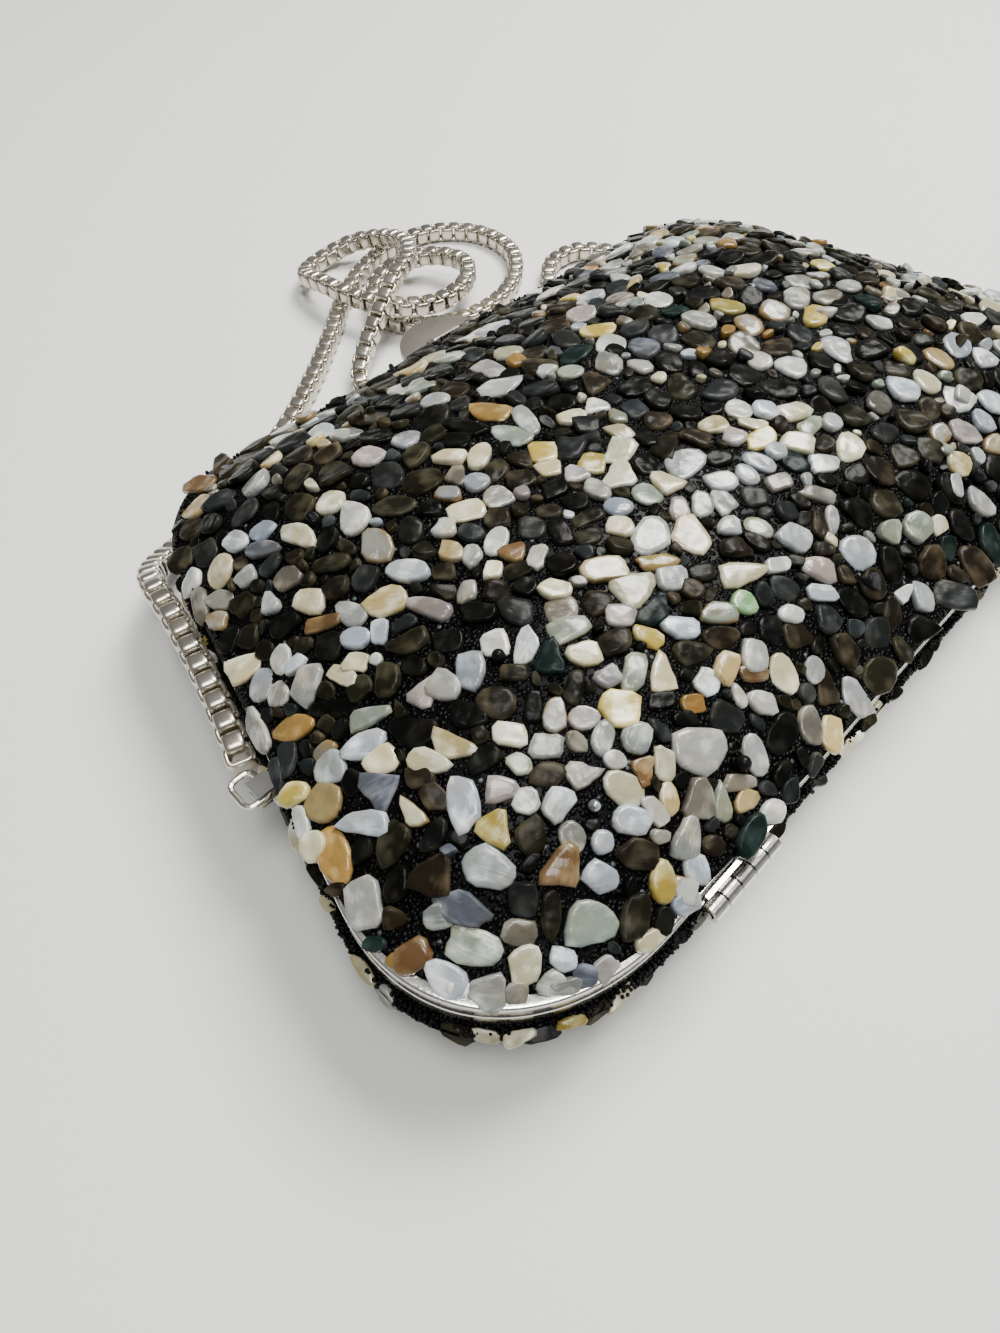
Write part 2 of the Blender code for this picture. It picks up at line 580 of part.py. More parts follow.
def clasp_keeper():
    """A plate on the back frame's band with the lip that the hook passes."""
    low = PARTING_Z - PARTING_GAP / 2 - BAND_HEIGHT
    outer = CLASP_FACE_Y + CLASP_PLATE_THICKNESS
    lip_low = TONGUE_BOTTOM - HOOK_LENGTH + HOOK_TOE_HEIGHT + CLEARANCE
    outline = [(CLASP_FACE_Y, low), (outer, low), (outer, lip_low), (outer + KEEPER_LIP, lip_low),
               (outer + KEEPER_LIP, lip_low + KEEPER_LIP_HEIGHT / 2), (outer, lip_low + KEEPER_LIP_HEIGHT),
               (outer, low + KEEPER_HEIGHT), (CLASP_FACE_Y, low + KEEPER_HEIGHT)]
    slab("clasp_keeper", outline, KEEPER_WIDTH, ALONG_X, NICKEL)


EYE_Z = PARTING_Z - PARTING_GAP / 2 - BAND_HEIGHT / 2
EYE_FACE_X = half_length_at(EYE_Y - EYE_WIDTH / 2) + CLEARANCE
EYE_PLATE_OUT = EYE_FACE_X + EYE_PLATE_THICKNESS
POST_X = EYE_PLATE_OUT + 2 * RING_WIRE_RADIUS + 2 * CLEARANCE + POST_RADIUS
RING_INNER_X = (EYE_PLATE_OUT + POST_X - POST_RADIUS) / 2


def chain_eye(side_name, mirror):
    """A small channel on the back frame's band with a post across it."""
    outer = POST_X + POST_RADIUS + CLEARANCE
    half_gap = EYE_GAP / 2
    high = half_gap + EYE_LUG_THICKNESS
    outline = [(EYE_FACE_X, -high), (outer, -high), (outer, -half_gap), (EYE_PLATE_OUT, -half_gap),
               (EYE_PLATE_OUT, half_gap), (outer, half_gap), (outer, high), (EYE_FACE_X, high)]
    outline = [(mirror * u, v) for u, v in outline]
    place = Matrix.Translation((0, EYE_Y, EYE_Z)) @ ALONG_Y
    eye = slab(f"chain_eye_{side_name}", outline, EYE_WIDTH, place, NICKEL)
    bm = bmesh.new()
    bmesh.ops.create_cone(bm, cap_ends=True, segments=16, radius1=POST_RADIUS, radius2=POST_RADIUS,
                          depth=2 * half_gap + EYE_LUG_THICKNESS,
                          matrix=Matrix.Translation((mirror * POST_X, EYE_Y, EYE_Z)))
    combine(eye, add_object(f"chain_post_{side_name}", bm, NICKEL), "UNION")


def chain_ring(side_name, mirror):
    """A flat rounded ring round the eye's post, pulled towards the opening side."""
    u = RING_WIDTH / 2 - RING_CORNER
    v = RING_LENGTH / 2 - RING_CORNER
    centre_x = RING_INNER_X + RING_WIDTH / 2
    centre_y = EYE_Y - POST_RADIUS - CLEARANCE - RING_WIRE_RADIUS + RING_LENGTH / 2
    loop = []
    for i, (a, b) in enumerate(((u, v), (-u, v), (-u, -v), (u, -v))):
        start = i * QUARTER
        loop += arc(centre_x + a, centre_y + b, RING_CORNER, start, start + QUARTER, RING_CORNER_POINTS)
    points = [(mirror * x, y, EYE_Z) for x, y in loop]
    tube(f"chain_ring_{side_name}", points, RING_WIRE_RADIUS, 2, True, CHAIN_METAL)


def smooth_route(route, count):
    """Points at even steps along a centripetal spline through the route's own points."""
    fine = []
    ends = [2 * route[0] - route[1]] + route + [2 * route[-1] - route[-2]]
    for i in range(1, len(ends) - 2):
        p0, p1, p2, p3 = ends[i - 1:i + 3]
        t1 = (p1 - p0).length ** 0.5
        t2 = t1 + (p2 - p1).length ** 0.5
        t3 = t2 + (p3 - p2).length ** 0.5
        for step in range(12):
            t = t1 + (t2 - t1) * step / 12
            a1 = p0 * ((t1 - t) / t1) + p1 * (t / t1)
            a2 = p1 * ((t2 - t) / (t2 - t1)) + p2 * ((t - t1) / (t2 - t1))
            a3 = p2 * ((t3 - t) / (t3 - t2)) + p3 * ((t - t2) / (t3 - t2))
            b1 = a1 * ((t2 - t) / t2) + a2 * (t / t2)
            b2 = a2 * ((t3 - t) / (t3 - t1)) + a3 * ((t - t1) / (t3 - t1))
            fine.append(b1 * ((t2 - t) / (t2 - t1)) + b2 * ((t - t1) / (t2 - t1)))
    fine.append(route[-1])
    points, length = even_steps(fine, count - 1)
    return points + fine[-1:], length


def chain():
    """The whole box chain as one plain tube along its route."""
    route = [Vector(place) * MM for place in CHAIN_ROUTE_MM]
    points, length = smooth_route(route, CHAIN_POINTS)
    apart = int(3 * CHAIN_WIDTH / (length / CHAIN_POINTS))
    gap = min((p - q).length for i, p in enumerate(points) for q in points[i + apart + 1:]) - CHAIN_WIDTH
    print(f"chain length {length / MM:.0f} mm, least gap to itself {gap / MM:.2f} mm")
    tube("chain", points, CHAIN_WIDTH / 2, 2, False, CHAIN_METAL)


def half(side_name, side):
    frame(f"{side_name}_frame", side)
    shell_depth = COVER_THICKNESS + CLEARANCE
    lining_depth = shell_depth + SHELL_THICKNESS + CLEARANCE
    cover(f"{side_name}_cover", side, side == BACK)
    domed_layer(f"{side_name}_shell", side, shell_depth, SHELL_THICKNESS, PRESSED)
    domed_layer(f"{side_name}_lining", side, lining_depth, LINING_THICKNESS, SATIN)


half("back", BACK)
half("front", FRONT)
hinge("left", -HINGE_SPACING / 2)
hinge("right", HINGE_SPACING / 2)
clasp_bracket()
clasp_lever()
clasp_spring()
clasp_keeper()
for eye_name, eye_side in (("left", -1), ("right", 1)):
    chain_eye(eye_name, eye_side)
    chain_ring(eye_name, eye_side)
chain()
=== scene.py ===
# A minaudiere lying on its back: two domed halves covered with tumbled shell chips and glass beads, on
# polished frames, with a round-tongued clasp and a box chain. Settings are in millimetres, the scene in
# metres. X runs along the long sides, +Y points to the clasp, Z is up.
import math

import bmesh
import bpy
import numpy as np
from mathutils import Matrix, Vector


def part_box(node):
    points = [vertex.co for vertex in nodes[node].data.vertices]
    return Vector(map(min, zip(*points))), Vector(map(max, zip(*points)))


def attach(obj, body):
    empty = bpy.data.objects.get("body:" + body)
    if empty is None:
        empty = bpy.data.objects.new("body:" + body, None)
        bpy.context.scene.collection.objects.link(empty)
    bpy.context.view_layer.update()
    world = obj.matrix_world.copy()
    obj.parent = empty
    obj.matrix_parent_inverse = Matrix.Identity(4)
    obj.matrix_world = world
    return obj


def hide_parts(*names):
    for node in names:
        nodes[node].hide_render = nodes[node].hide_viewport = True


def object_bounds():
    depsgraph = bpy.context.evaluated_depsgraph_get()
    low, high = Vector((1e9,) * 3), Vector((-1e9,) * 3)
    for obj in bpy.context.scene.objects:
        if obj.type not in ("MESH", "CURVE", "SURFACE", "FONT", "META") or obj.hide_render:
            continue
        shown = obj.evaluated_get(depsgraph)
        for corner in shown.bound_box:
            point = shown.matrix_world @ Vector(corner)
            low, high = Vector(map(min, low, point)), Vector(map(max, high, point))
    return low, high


mm = 0.001
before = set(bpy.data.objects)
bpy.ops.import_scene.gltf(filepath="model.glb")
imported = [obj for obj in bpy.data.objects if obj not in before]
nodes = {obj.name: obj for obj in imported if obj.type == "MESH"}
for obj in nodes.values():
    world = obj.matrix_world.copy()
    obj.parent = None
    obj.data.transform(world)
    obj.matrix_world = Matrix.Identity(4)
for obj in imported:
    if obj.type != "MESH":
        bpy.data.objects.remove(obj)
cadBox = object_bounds()
print("frame:", len(nodes), "nodes")

cameraView = {
    "azimuth": -44.88,          # degrees from the -Y side, turning towards +X
    "elevation": 54.45,
    "distance": 152.46,
    "target": (-45.0, -1.15, 0.0),
    "focalLength": 21.58,
    "sensor": 36.0,
    "nearest": 10.0,
    "picture": (1000.0, 1333.0),
}


def cameraAxes(view):
    # the camera's place, the way to its right, up and back from the view's two angles
    azimuth, elevation = math.radians(view["azimuth"]), math.radians(view["elevation"])
    right = np.array([math.cos(azimuth), math.sin(azimuth), 0.0])
    back = np.array([math.sin(azimuth) * math.cos(elevation), -math.cos(azimuth) * math.cos(elevation),
                     math.sin(elevation)])
    return np.array(view["target"]) + back * view["distance"], right, np.cross(back, right), back


def addCamera(view):
    place, _, _, back = cameraAxes(view)
    data = bpy.data.cameras.new("camera")
    data.lens = view["focalLength"]
    data.sensor_width = view["sensor"]
    data.clip_start = view["nearest"] * mm
    camera = bpy.data.objects.new("camera", data)
    bpy.context.scene.collection.objects.link(camera)
    camera.location = Vector(place) * mm
    camera.rotation_euler = Vector(back).to_track_quat("Z", "Y").to_euler()
    bpy.context.scene.camera = camera


def pictureOf(points):
    # where the camera sees places given in metres: x to the right and y down from the picture's top left
    # corner, in thousandths of its width; the sensor's size lies along the picture's height
    place, right, up, back = cameraAxes(cameraView)
    away = np.asarray(points) / mm - place
    width, height = cameraView["picture"]
    scale = cameraView["focalLength"] / cameraView["sensor"] * height / -(away @ back)
    return np.stack([width / 2 + scale * (away @ right), height / 2 - scale * (away @ up)], -1)


addCamera(cameraView)


# Shader helpers

class Wire:
    # one output socket; an operator on it adds a Math node and gives back that node's output
    def __init__(self, tree, socket):
        self.tree, self.socket = tree, socket

    def math(self, operation, *others):
        node = self.tree.nodes.new("ShaderNodeMath")
        node.operation = operation
        for place, value in zip(node.inputs, others):
            if isinstance(value, Wire):
                self.tree.links.new(value.socket, place)
            else:
                place.default_value = value
        return Wire(self.tree, node.outputs[0])

    def __add__(self, other):
        return self.math("ADD", self, other)

    def __radd__(self, other):
        return self.math("ADD", other, self)

    def __sub__(self, other):
        return self.math("SUBTRACT", self, other)

    def __rsub__(self, other):
        return self.math("SUBTRACT", other, self)

    def __mul__(self, other):
        return self.math("MULTIPLY", self, other)

    def __rmul__(self, other):
        return self.math("MULTIPLY", other, self)

    def __pow__(self, other):
        return self.math("POWER", self, other)

    def __gt__(self, other):
        return self.math("GREATER_THAN", self, other)

    def clamp(self):
        node = self.tree.nodes.new("ShaderNodeClamp")
        self.tree.links.new(self.socket, node.inputs["Value"])
        return Wire(self.tree, node.outputs[0])


class Surface:
    # a material with one Principled shader; node() adds any other node, set() fills a shader socket
    def __init__(self, name, **values):
        self.material = bpy.data.materials.new(name)
        self.material.use_nodes = True
        self.tree = self.material.node_tree
        self.shader = self.tree.nodes["Principled BSDF"]
        for socket, value in values.items():
            self.set(socket.replace("_", " "), value)

    def fill(self, place, value):
        if isinstance(value, Wire):
            self.tree.links.new(value.socket, place)
        elif isinstance(value, tuple) and len(value) == 3 and place.type == "RGBA":
            place.default_value = (*value, 1.0)
        else:
            place.default_value = value

    def set(self, socket, value):
        self.fill(self.shader.inputs[socket], value)

    def node(self, kind, settings=None, values=None, out=0):
        node = self.tree.nodes.new("ShaderNode" + kind)
        for name, value in (settings or {}).items():
            if name == "stops":
                ramp = node.color_ramp
                while len(ramp.elements) < len(value):
                    ramp.elements.new(1.0)
                for element, (place, colour) in zip(ramp.elements, value):
                    element.position = place
                    element.color = (*colour, 1.0)
            else:
                setattr(node, name, value)
        for name, value in (values or {}).items():
            self.fill(node.inputs[name], value)
        return Wire(self.tree, node.outputs[out])

    def mix(self, factor, first, second):
        return self.node("Mix", {"data_type": "RGBA"}, {0: factor, 6: first, 7: second}, 2)

    def multiply(self, factor, first, second):
        settings = {"data_type": "RGBA", "blend_type": "MULTIPLY"}
        return self.node("Mix", settings, {0: factor, 6: first, 7: second}, 2)

    def place(self):
        return self.node("TexCoord", out="Object")

    def attribute(self, name, out="Color"):
        return self.node("Attribute", {"attribute_name": name}, out=out)

    def noise(self, vector, scale, detail, **more):
        return self.node("TexNoise", None, {"Vector": vector, "Scale": scale, "Detail": detail, **more})

    def bump(self, height, distance):
        self.set("Normal", self.node("Bump", None, {"Height": height, "Distance": distance}))


# Mesh helpers

def addMesh(name, verts, faces, material, attributes=None):
    # vertices as one array, faces as arrays of corner numbers, all of one array with the same corner count
    mesh = bpy.data.meshes.new(name)
    verts = np.asarray(verts, np.float32).reshape(-1, 3)
    faces = [np.asarray(group, np.int32) for group in faces]
    corners = np.concatenate([group.ravel() for group in faces])
    counts = np.concatenate([np.full(len(group), group.shape[1]) for group in faces])
    mesh.vertices.add(len(verts))
    mesh.vertices.foreach_set("co", verts.ravel())
    mesh.loops.add(len(corners))
    mesh.loops.foreach_set("vertex_index", corners)
    mesh.polygons.add(len(counts))
    mesh.polygons.foreach_set("loop_start", np.concatenate([[0], np.cumsum(counts)[:-1]]).astype(np.int32))
    mesh.update(calc_edges=True)
    mesh.validate()
    mesh.polygons.foreach_set("use_smooth", np.ones(len(mesh.polygons), bool))
    for label, (kind, values) in (attributes or {}).items():
        layer = mesh.attributes.new(label, kind, "POINT")
        field = "color" if kind == "FLOAT_COLOR" else "vector"
        layer.data.foreach_set(field, np.asarray(values, np.float32).ravel())
    mesh.materials.append(material)
    piece = bpy.data.objects.new(name, mesh)
    bpy.context.scene.collection.objects.link(piece)
    return piece


def gridFaces(rows, columns, closeRows=False):
    # quads between neighbouring points of a rows by columns grid whose last column meets its first
    i = np.arange(rows if closeRows else rows - 1)[:, None]
    j = np.arange(columns)[None, :]
    here, right = i * columns + j, i * columns + (j + 1) % columns
    up = (i + 1) % rows * columns + j
    corner = (i + 1) % rows * columns + (j + 1) % columns
    return np.stack([here, right, corner, up], -1).reshape(-1, 4)


def dress(piece, body, slotName, *replaced):
    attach(piece, body)
    if replaced:
        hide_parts(*replaced)
    return piece


def giveWall(piece, thickness):
    # a sheet gets its thickness behind the side that its faces show
    wall = piece.modifiers.new("wall", "SOLIDIFY")
    wall.thickness = thickness * mm
    wall.offset = -1.0


def paint(material, *names):
    # the CAD's own pieces keep their shape and get the scene's finish
    for name in names:
        nodes[name].material_slots[0].material = material


def evenPath(points, count):
    # the same path with its points at even steps of its length
    points = np.asarray(points, float)
    walked = np.concatenate([[0], np.cumsum(np.linalg.norm(np.diff(points, axis=0), axis=1))])
    goals = np.linspace(0, walked[-1], count)
    return np.stack([np.interp(goals, walked, column) for column in points.T], -1), walked[-1]


def roundedLoop(points, radius, steps=5):
    # a closed outline with each corner replaced by a curve between points that far from it, or less where
    # a side is short
    points = np.asarray(points, float)
    most = 0.45
    share = np.linspace(0, 1, steps)[:, None]
    loop = []
    for before, here, after in zip(np.roll(points, 1, 0), points, np.roll(points, -1, 0)):
        reach = min(radius, most * np.linalg.norm(before - here), most * np.linalg.norm(after - here))
        start = here + (before - here) / np.linalg.norm(before - here) * reach
        end = here + (after - here) / np.linalg.norm(after - here) * reach
        loop.append((1 - share) ** 2 * start + 2 * share * (1 - share) * here + share ** 2 * end)
    return np.vstack(loop)


# Metals

def makeMetal(name, colour, roughness, wear, scratch=0.02):
    # polished plating: faint cloudy smears in its roughness and hair scratches in its bump
    metal = Surface(name, Base_Color=colour, Metallic=1.0)
    place = metal.place()
    smear = metal.noise(place, 90.0, 4.0)
    fine = metal.noise(place, 1400.0, 2.0)
    tone = metal.mix(smear, tuple(c * (1 - wear) for c in colour), colour)
    metal.set("Base Color", tone)
    metal.set("Roughness", (smear * 0.10 + fine * 0.06 + (roughness - 0.08)).clamp())
    metal.bump(fine, scratch * mm)
    return metal.material


nickel = makeMetal("polishedNickel", (0.80, 0.78, 0.74), 0.20, 0.08)
claspNickel = makeMetal("satinNickel", (0.57, 0.53, 0.46), 0.34, 0.06, 0.03)
chainNickel = makeMetal("chainNickel", (0.70, 0.65, 0.56), 0.28, 0.35)
springSteel = makeMetal("springSteel", (0.45, 0.45, 0.46), 0.32, 0.1)
brass = makeMetal("pressedBrass", (0.55, 0.42, 0.22), 0.38, 0.3)


# Chain

chain = {
    "width": 4.5,
    "pitch": 2.1,                # from one link's middle to the next
    "linkLength": 3.6,
    "strip": 3.1,                # width of the folded strip
    "stripThickness": 0.72,
    "corner": 1.15,
    "innerCorner": 0.5,          # of the outer corner
    "cornerSteps": 4,
    "swell": [(0.90, 1.0), (0.965, 0.86), (0.995, 0.5), (1.0, 0.0)],   # size, and share of half the width
    "lowest": 0.05,              # above the floor
    "pathPoints": 4000,
    "cordPoints": 240,
}
# middle of the chain, from the left eye round to the right one
chainRoute = [
    (-94.3, 3.6, 18.1), (-92.6, 9.0, 18.5), (-90.2, 18.0, 18.7), (-88.1, 27.0, 18.8),
    (-86.4, 35.5, 18.7), (-85.2, 43.5, 17.6), (-83.4, 51.0, 14.2), (-79.8, 57.6, 9.6),
    (-74.6, 62.9, 5.6), (-68.0, 66.9, 3.0), (-60.5, 69.9, 2.4), (-52.0, 73.2, 2.4),
    (-43.0, 77.5, 2.4), (-31.0, 84.0, 2.4),
    (-16.0, 94.5, 2.4), (-1.5, 106.0, 2.4), (12.0, 117.5, 2.4), (26.0, 126.0, 2.4),
    (41.0, 130.0, 2.4), (54.5, 127.5, 2.4), (63.5, 117.5, 2.4), (63.5, 104.0, 2.4),
    (55.5, 93.5, 2.4), (43.0, 87.0, 2.4), (29.5, 86.5, 2.4), (18.5, 92.0, 2.4),
    (14.0, 102.5, 2.4), (18.5, 112.5, 3.4), (29.0, 117.0, 4.8), (39.5, 112.5, 6.2),
    (42.5, 101.5, 7.4), (35.0, 92.5, 8.0), (22.5, 90.5, 8.0), (12.5, 97.5, 8.2),
    (8.5, 108.5, 8.0), (7.5, 120.0, 7.6), (9.5, 131.5, 4.6), (19.0, 137.5, 3.0),
    (29.5, 134.5, 5.6), (34.0, 125.0, 8.8), (32.5, 114.0, 11.6), (25.0, 104.5, 13.6),
    (15.5, 98.5, 14.2), (6.5, 94.0, 10.6), (-2.5, 90.0, 5.6), (-9.2, 84.4, 2.8),
    (-11.6, 77.0, 2.4), (-8.6, 70.2, 2.4), (-2.0, 66.2, 2.4), (7.0, 64.8, 2.4),
    (15.5, 64.8, 2.4), (25.0, 65.8, 2.4), (36.0, 68.5, 2.4), (47.5, 74.0, 2.4),
    (57.5, 82.5, 2.4), (67.0, 89.5, 2.4), (77.0, 89.0, 2.4), (83.5, 80.5, 2.6),
    (85.0, 70.0, 4.4), (84.4, 60.0, 9.6), (84.4, 51.0, 14.4), (85.2, 43.5, 17.6),
    (86.4, 35.5, 18.7), (88.1, 27.0, 18.8), (90.2, 18.0, 18.7), (92.6, 9.0, 18.5),
    (94.3, 3.6, 18.1),
]


def smoothRoute(route, steps=24):
    # centripetal spline through the route's points: knots are spaced by the root of each step's length
    points = np.asarray(route, float)
    points = np.vstack([2 * points[0] - points[1], points, 2 * points[-1] - points[-2]])
    share = (np.arange(steps) / steps)[:, None]
    pieces = []
    for p0, p1, p2, p3 in zip(points, points[1:], points[2:], points[3:]):
        t1 = np.linalg.norm(p1 - p0) ** 0.5
        t2 = t1 + np.linalg.norm(p2 - p1) ** 0.5
        t3 = t2 + np.linalg.norm(p3 - p2) ** 0.5
        t = t1 + (t2 - t1) * share
        a1 = p0 * (t1 - t) / t1 + p1 * t / t1
        a2 = p1 * (t2 - t) / (t2 - t1) + p2 * (t - t1) / (t2 - t1)
        a3 = p2 * (t3 - t) / (t3 - t2) + p3 * (t - t2) / (t3 - t2)
        b1 = a1 * (t2 - t) / t2 + a2 * t / t2
        b2 = a2 * (t3 - t) / (t3 - t1) + a3 * (t - t1) / (t3 - t1)
        pieces.append(b1 * (t2 - t) / (t2 - t1) + b2 * (t - t1) / (t2 - t1))
    return np.vstack(pieces + [points[-2:-1]])


def levelFrames(path):
    # the path's tangent, the level direction across it and the one square to both
    tangent = np.gradient(path, axis=0)
    tangent /= np.linalg.norm(tangent, axis=1, keepdims=True)
    side = np.cross((0.0, 0.0, 1.0), tangent)
    side /= np.linalg.norm(side, axis=1, keepdims=True)
    return tangent, side, np.cross(tangent, side)


def linkTemplate():
    # a strip folded into a rounded box: the loop lies along the chain, the strip's width across it, and
    # its outer faces swell
    length, width = chain["linkLength"] / 2, chain["width"] / 2
    thick, half = chain["stripThickness"], chain["strip"] / 2
    signs = np.array([(-1, -1), (1, -1), (1, 1), (-1, 1)])
    outer = roundedLoop(signs * (length, width), chain["corner"], chain["cornerSteps"])
    inner = roundedLoop(signs * (length - thick, width - thick), chain["corner"] * chain["innerCorner"],
                        chain["cornerSteps"])
    rows = [(outer * size, half * level) for size, level in chain["swell"]]
    rows += [(outer * size, -half * level) for size, level in chain["swell"][-2::-1]]
    rows += [(inner, -half), (inner, half)]
    verts = np.stack([np.concatenate([loop, np.full((len(loop), 1), level)], 1) for loop, level in rows])
    return verts.reshape(-1, 3), gridFaces(len(rows), len(outer), closeRows=True)


def makeChain():
    # one link after another along the route, each turned a quarter from the last
    path, length = evenPath(smoothRoute(chainRoute), chain["pathPoints"])
    tangent, side, up = levelFrames(path)
    count = int((length - chain["linkLength"]) / chain["pitch"])
    index = np.linspace(chain["linkLength"] / 2, length - chain["linkLength"] / 2, count + 1)
    index = (index / length * (len(path) - 1)).astype(int)
    verts, faces = linkTemplate()
    even = (np.arange(len(index)) % 2 == 0)[:, None]
    across = np.where(even, side[index], up[index])
    thick = np.where(even, up[index], -side[index])
    placed = (path[index][:, None] + verts[None, :, :1] * tangent[index][:, None]
              + verts[None, :, 1:2] * across[:, None] + verts[None, :, 2:] * thick[:, None])
    offset = (np.arange(len(index)) * len(verts))[:, None, None]
    placed[..., 2] = np.maximum(placed[..., 2], chain["lowest"])
    piece = addMesh("boxChain", placed * mm, [(faces[None] + offset).reshape(-1, 4)], chainNickel)
    dress(piece, "back_half", "chain_nickel", "chain")
    print(f"chain: {len(index)} links, {length:.0f} mm")


makeChain()
paint(chainNickel, "chain_ring_left", "chain_ring_right")

# The case's form, shared by its pieces

frameLow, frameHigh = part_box("front_frame")
case = {
    "length": 183.0,            # halfway between the hinges and the clasp
    "depth": (frameHigh.y - frameLow.y) / mm,
    "thickness": cadBox[1][2] / mm,
    "taper": 0.16,
    "hingeCorner": 32.0,
    "claspCorner": 18.0,
    "plateauCorner": 8.5,
    "plateauHalfDepth": 10.0,
    "domePower": 1.5,
    "coverInset": 1.7,
    "bandTop": 3.65,            # from the parting plane
    "bandWall": 1.4,
    "partingHalfGap": 0.15,
    "flangeWidth": 7.0,
    "flangeTop": 1.15,
    "bulgeOut": 1.6,            # the back's beaded edge past its band
    "bulgeStart": 0.8,
    "bulgeSwell": 4.5,
    "bulgeFade": 1.2,
    "sideEnd": 0.18,            # of a quarter of the outline, where its short side ends
    "arcEnd": 0.54,             # and where its corner ends
    "roundest": 0.95,           # of half the depth, the largest corner
}
halfDepth = case["depth"] / 2
partingZ = case["thickness"] / 2
sideOf = {"back": -1, "front": 1}


def outlinePoint(inset, t):
    # plan of the case moved inwards: each quarter is half a short side, a corner's arc and half a long
    # side; t runs once round from the middle of the +X side; then x shrinks in proportion to y
    inset, t = np.broadcast_arrays(np.asarray(inset, float), np.asarray(t, float) % 1.0)
    quarter = np.floor(t * 4).astype(int) % 4
    u = t * 4 % 1.0
    u = np.where(quarter % 2 == 1, 1 - u, u)
    length, depth = case["length"] / 2 - inset, halfDepth - inset
    outer = np.where(quarter < 2, case["claspCorner"], case["hingeCorner"])
    share = inset / (halfDepth - case["plateauHalfDepth"])
    radius = np.minimum(outer + (case["plateauCorner"] - outer) * share, case["roundest"] * depth)
    sideEnd, arcEnd = case["sideEnd"], case["arcEnd"]
    along = np.clip(u / sideEnd, 0, 1)
    angle = np.clip((u - sideEnd) / (arcEnd - sideEnd), 0, 1) * math.pi / 2
    across = np.clip((u - arcEnd) / (1 - arcEnd), 0, 1)
    x = (length - radius) * (1 - across) + radius * np.cos(angle)
    y = (depth - radius) * along + radius * np.sin(angle)
    x = np.where((quarter == 0) | (quarter == 3), x, -x)
    y = np.where(quarter < 2, y, -y)
    return x * (1 - case["taper"] * y / halfDepth), y


lip = {
    "start": {"back": 0.05, "front": 0.0},
    "reach": 0.08,              # share of the section over which the covers' lip fades out
    "thinness": 0.35,           # how far the ground lies below the CAD's surface at its edge, as a share
    "flare": 2.1,               # how far the front's chips reach out over the band along the sides
    "cornerFlare": 0.9,         # and round the nearest corner, where the band shows
    "corner": 0.59,
    "cornerWidth": 0.05,
    "rise": 0.3,                # of the flare, away from the parting plane
    "claspFlare": 3.9,          # and further over the clasp's barrel
    "clasp": 0.25,
    "claspWidth": 0.03,
}


def domeSection(half, below, count=160, flared=True):
    # inset and height of the dome from its frame to the middle: a superellipse, then the flat patch; the
    # back's swells past its band; the whole is moved below by that much along its normal, less at its lip;
    # the third column is the share of the lip's flare
    rest = np.cos(np.linspace(0, math.pi / 2, count))
    share = (1 - rest ** case["domePower"]) ** (1 / case["domePower"])
    width = halfDepth - case["plateauHalfDepth"] - case["coverInset"]
    inset = case["coverInset"] + width * (1 - rest)
    height = case["bandTop"] + (partingZ - case["bandTop"]) * share
    if half == "back":
        inset = inset - case["bulgeSwell"] * (1 - share) ** case["bulgeFade"]
        edge = case["bandTop"] + case["bulgeStart"]
        kept = height > edge + case["bulgeStart"]
        start = [(case["coverInset"], edge), (case["bulgeStart"] - case["bulgeOut"], edge),
                 (-case["bulgeOut"], edge + case["bulgeStart"] / 2)]
        inset = np.maximum(inset[kept], -case["bulgeOut"])
        points = np.array(start + list(zip(inset, height[kept])))
    else:
        points = np.stack([inset, height], -1)
    points = np.vstack([points, (halfDepth, partingZ)])
    points, _ = evenPath(points, count)
    slope = np.gradient(points, axis=0)
    slope /= np.linalg.norm(slope, axis=1, keepdims=True)
    near = np.clip((np.linspace(0, 1, count) - lip["start"][half]) / lip["reach"], 0, 1)[:, None]
    depth = below * (lip["thinness"] + (1 - lip["thinness"]) * near) if flared else below
    moved = points + depth * np.stack([slope[:, 1], -slope[:, 0]], -1)
    return np.hstack([moved, (1 - near) ** 2 * (flared and half == "front")])


def flareAt(t):
    # the front's lip reaches out less round the nearest corner and more over the clasp, by bell curves of t
    corner = np.exp(-((t % 1.0 - lip["corner"]) / lip["cornerWidth"]) ** 2)
    clasp = np.exp(-((t % 1.0 - lip["clasp"]) / lip["claspWidth"]) ** 2)
    return (lip["flare"] + (lip["cornerFlare"] - lip["flare"]) * corner
            + (lip["claspFlare"] - lip["flare"]) * clasp)


def sectionPoint(section, half, s, t):
    # a point of the domed surface: the section at the share s of its length, carried to t of the outline
    steps = np.linspace(0, 1, len(section))
    inset, height, flare = (np.interp(s, steps, column) for column in section.T)
    x, y = outlinePoint(np.minimum(inset, halfDepth) - flare * flareAt(np.asarray(t, float)), t)
    x, y, z = np.broadcast_arrays(x, y, partingZ + sideOf[half] * (height + lip["rise"] * flare))
    return np.stack([x, y, z], -1) * mm


def surfaceFrame(section, half, s, t):
    # place, outward normal and one tangent, from small steps along s and t
    step = 0.002
    place = sectionPoint(section, half, s, t)
    inward = sectionPoint(section, half, s + step, t) - sectionPoint(section, half, s - step, t)
    along = sectionPoint(section, half, s, t + step) - sectionPoint(section, half, s, t - step)
    normal = np.cross(along, inward) * sideOf[half]
    normal /= np.linalg.norm(normal, axis=-1, keepdims=True)
    along /= np.linalg.norm(along, axis=-1, keepdims=True)
    return place, normal, along


def outwards(half, faces):
    # the back is the front turned over, so its faces run the other way round
    return faces[:, ::-1] if half == "back" else faces


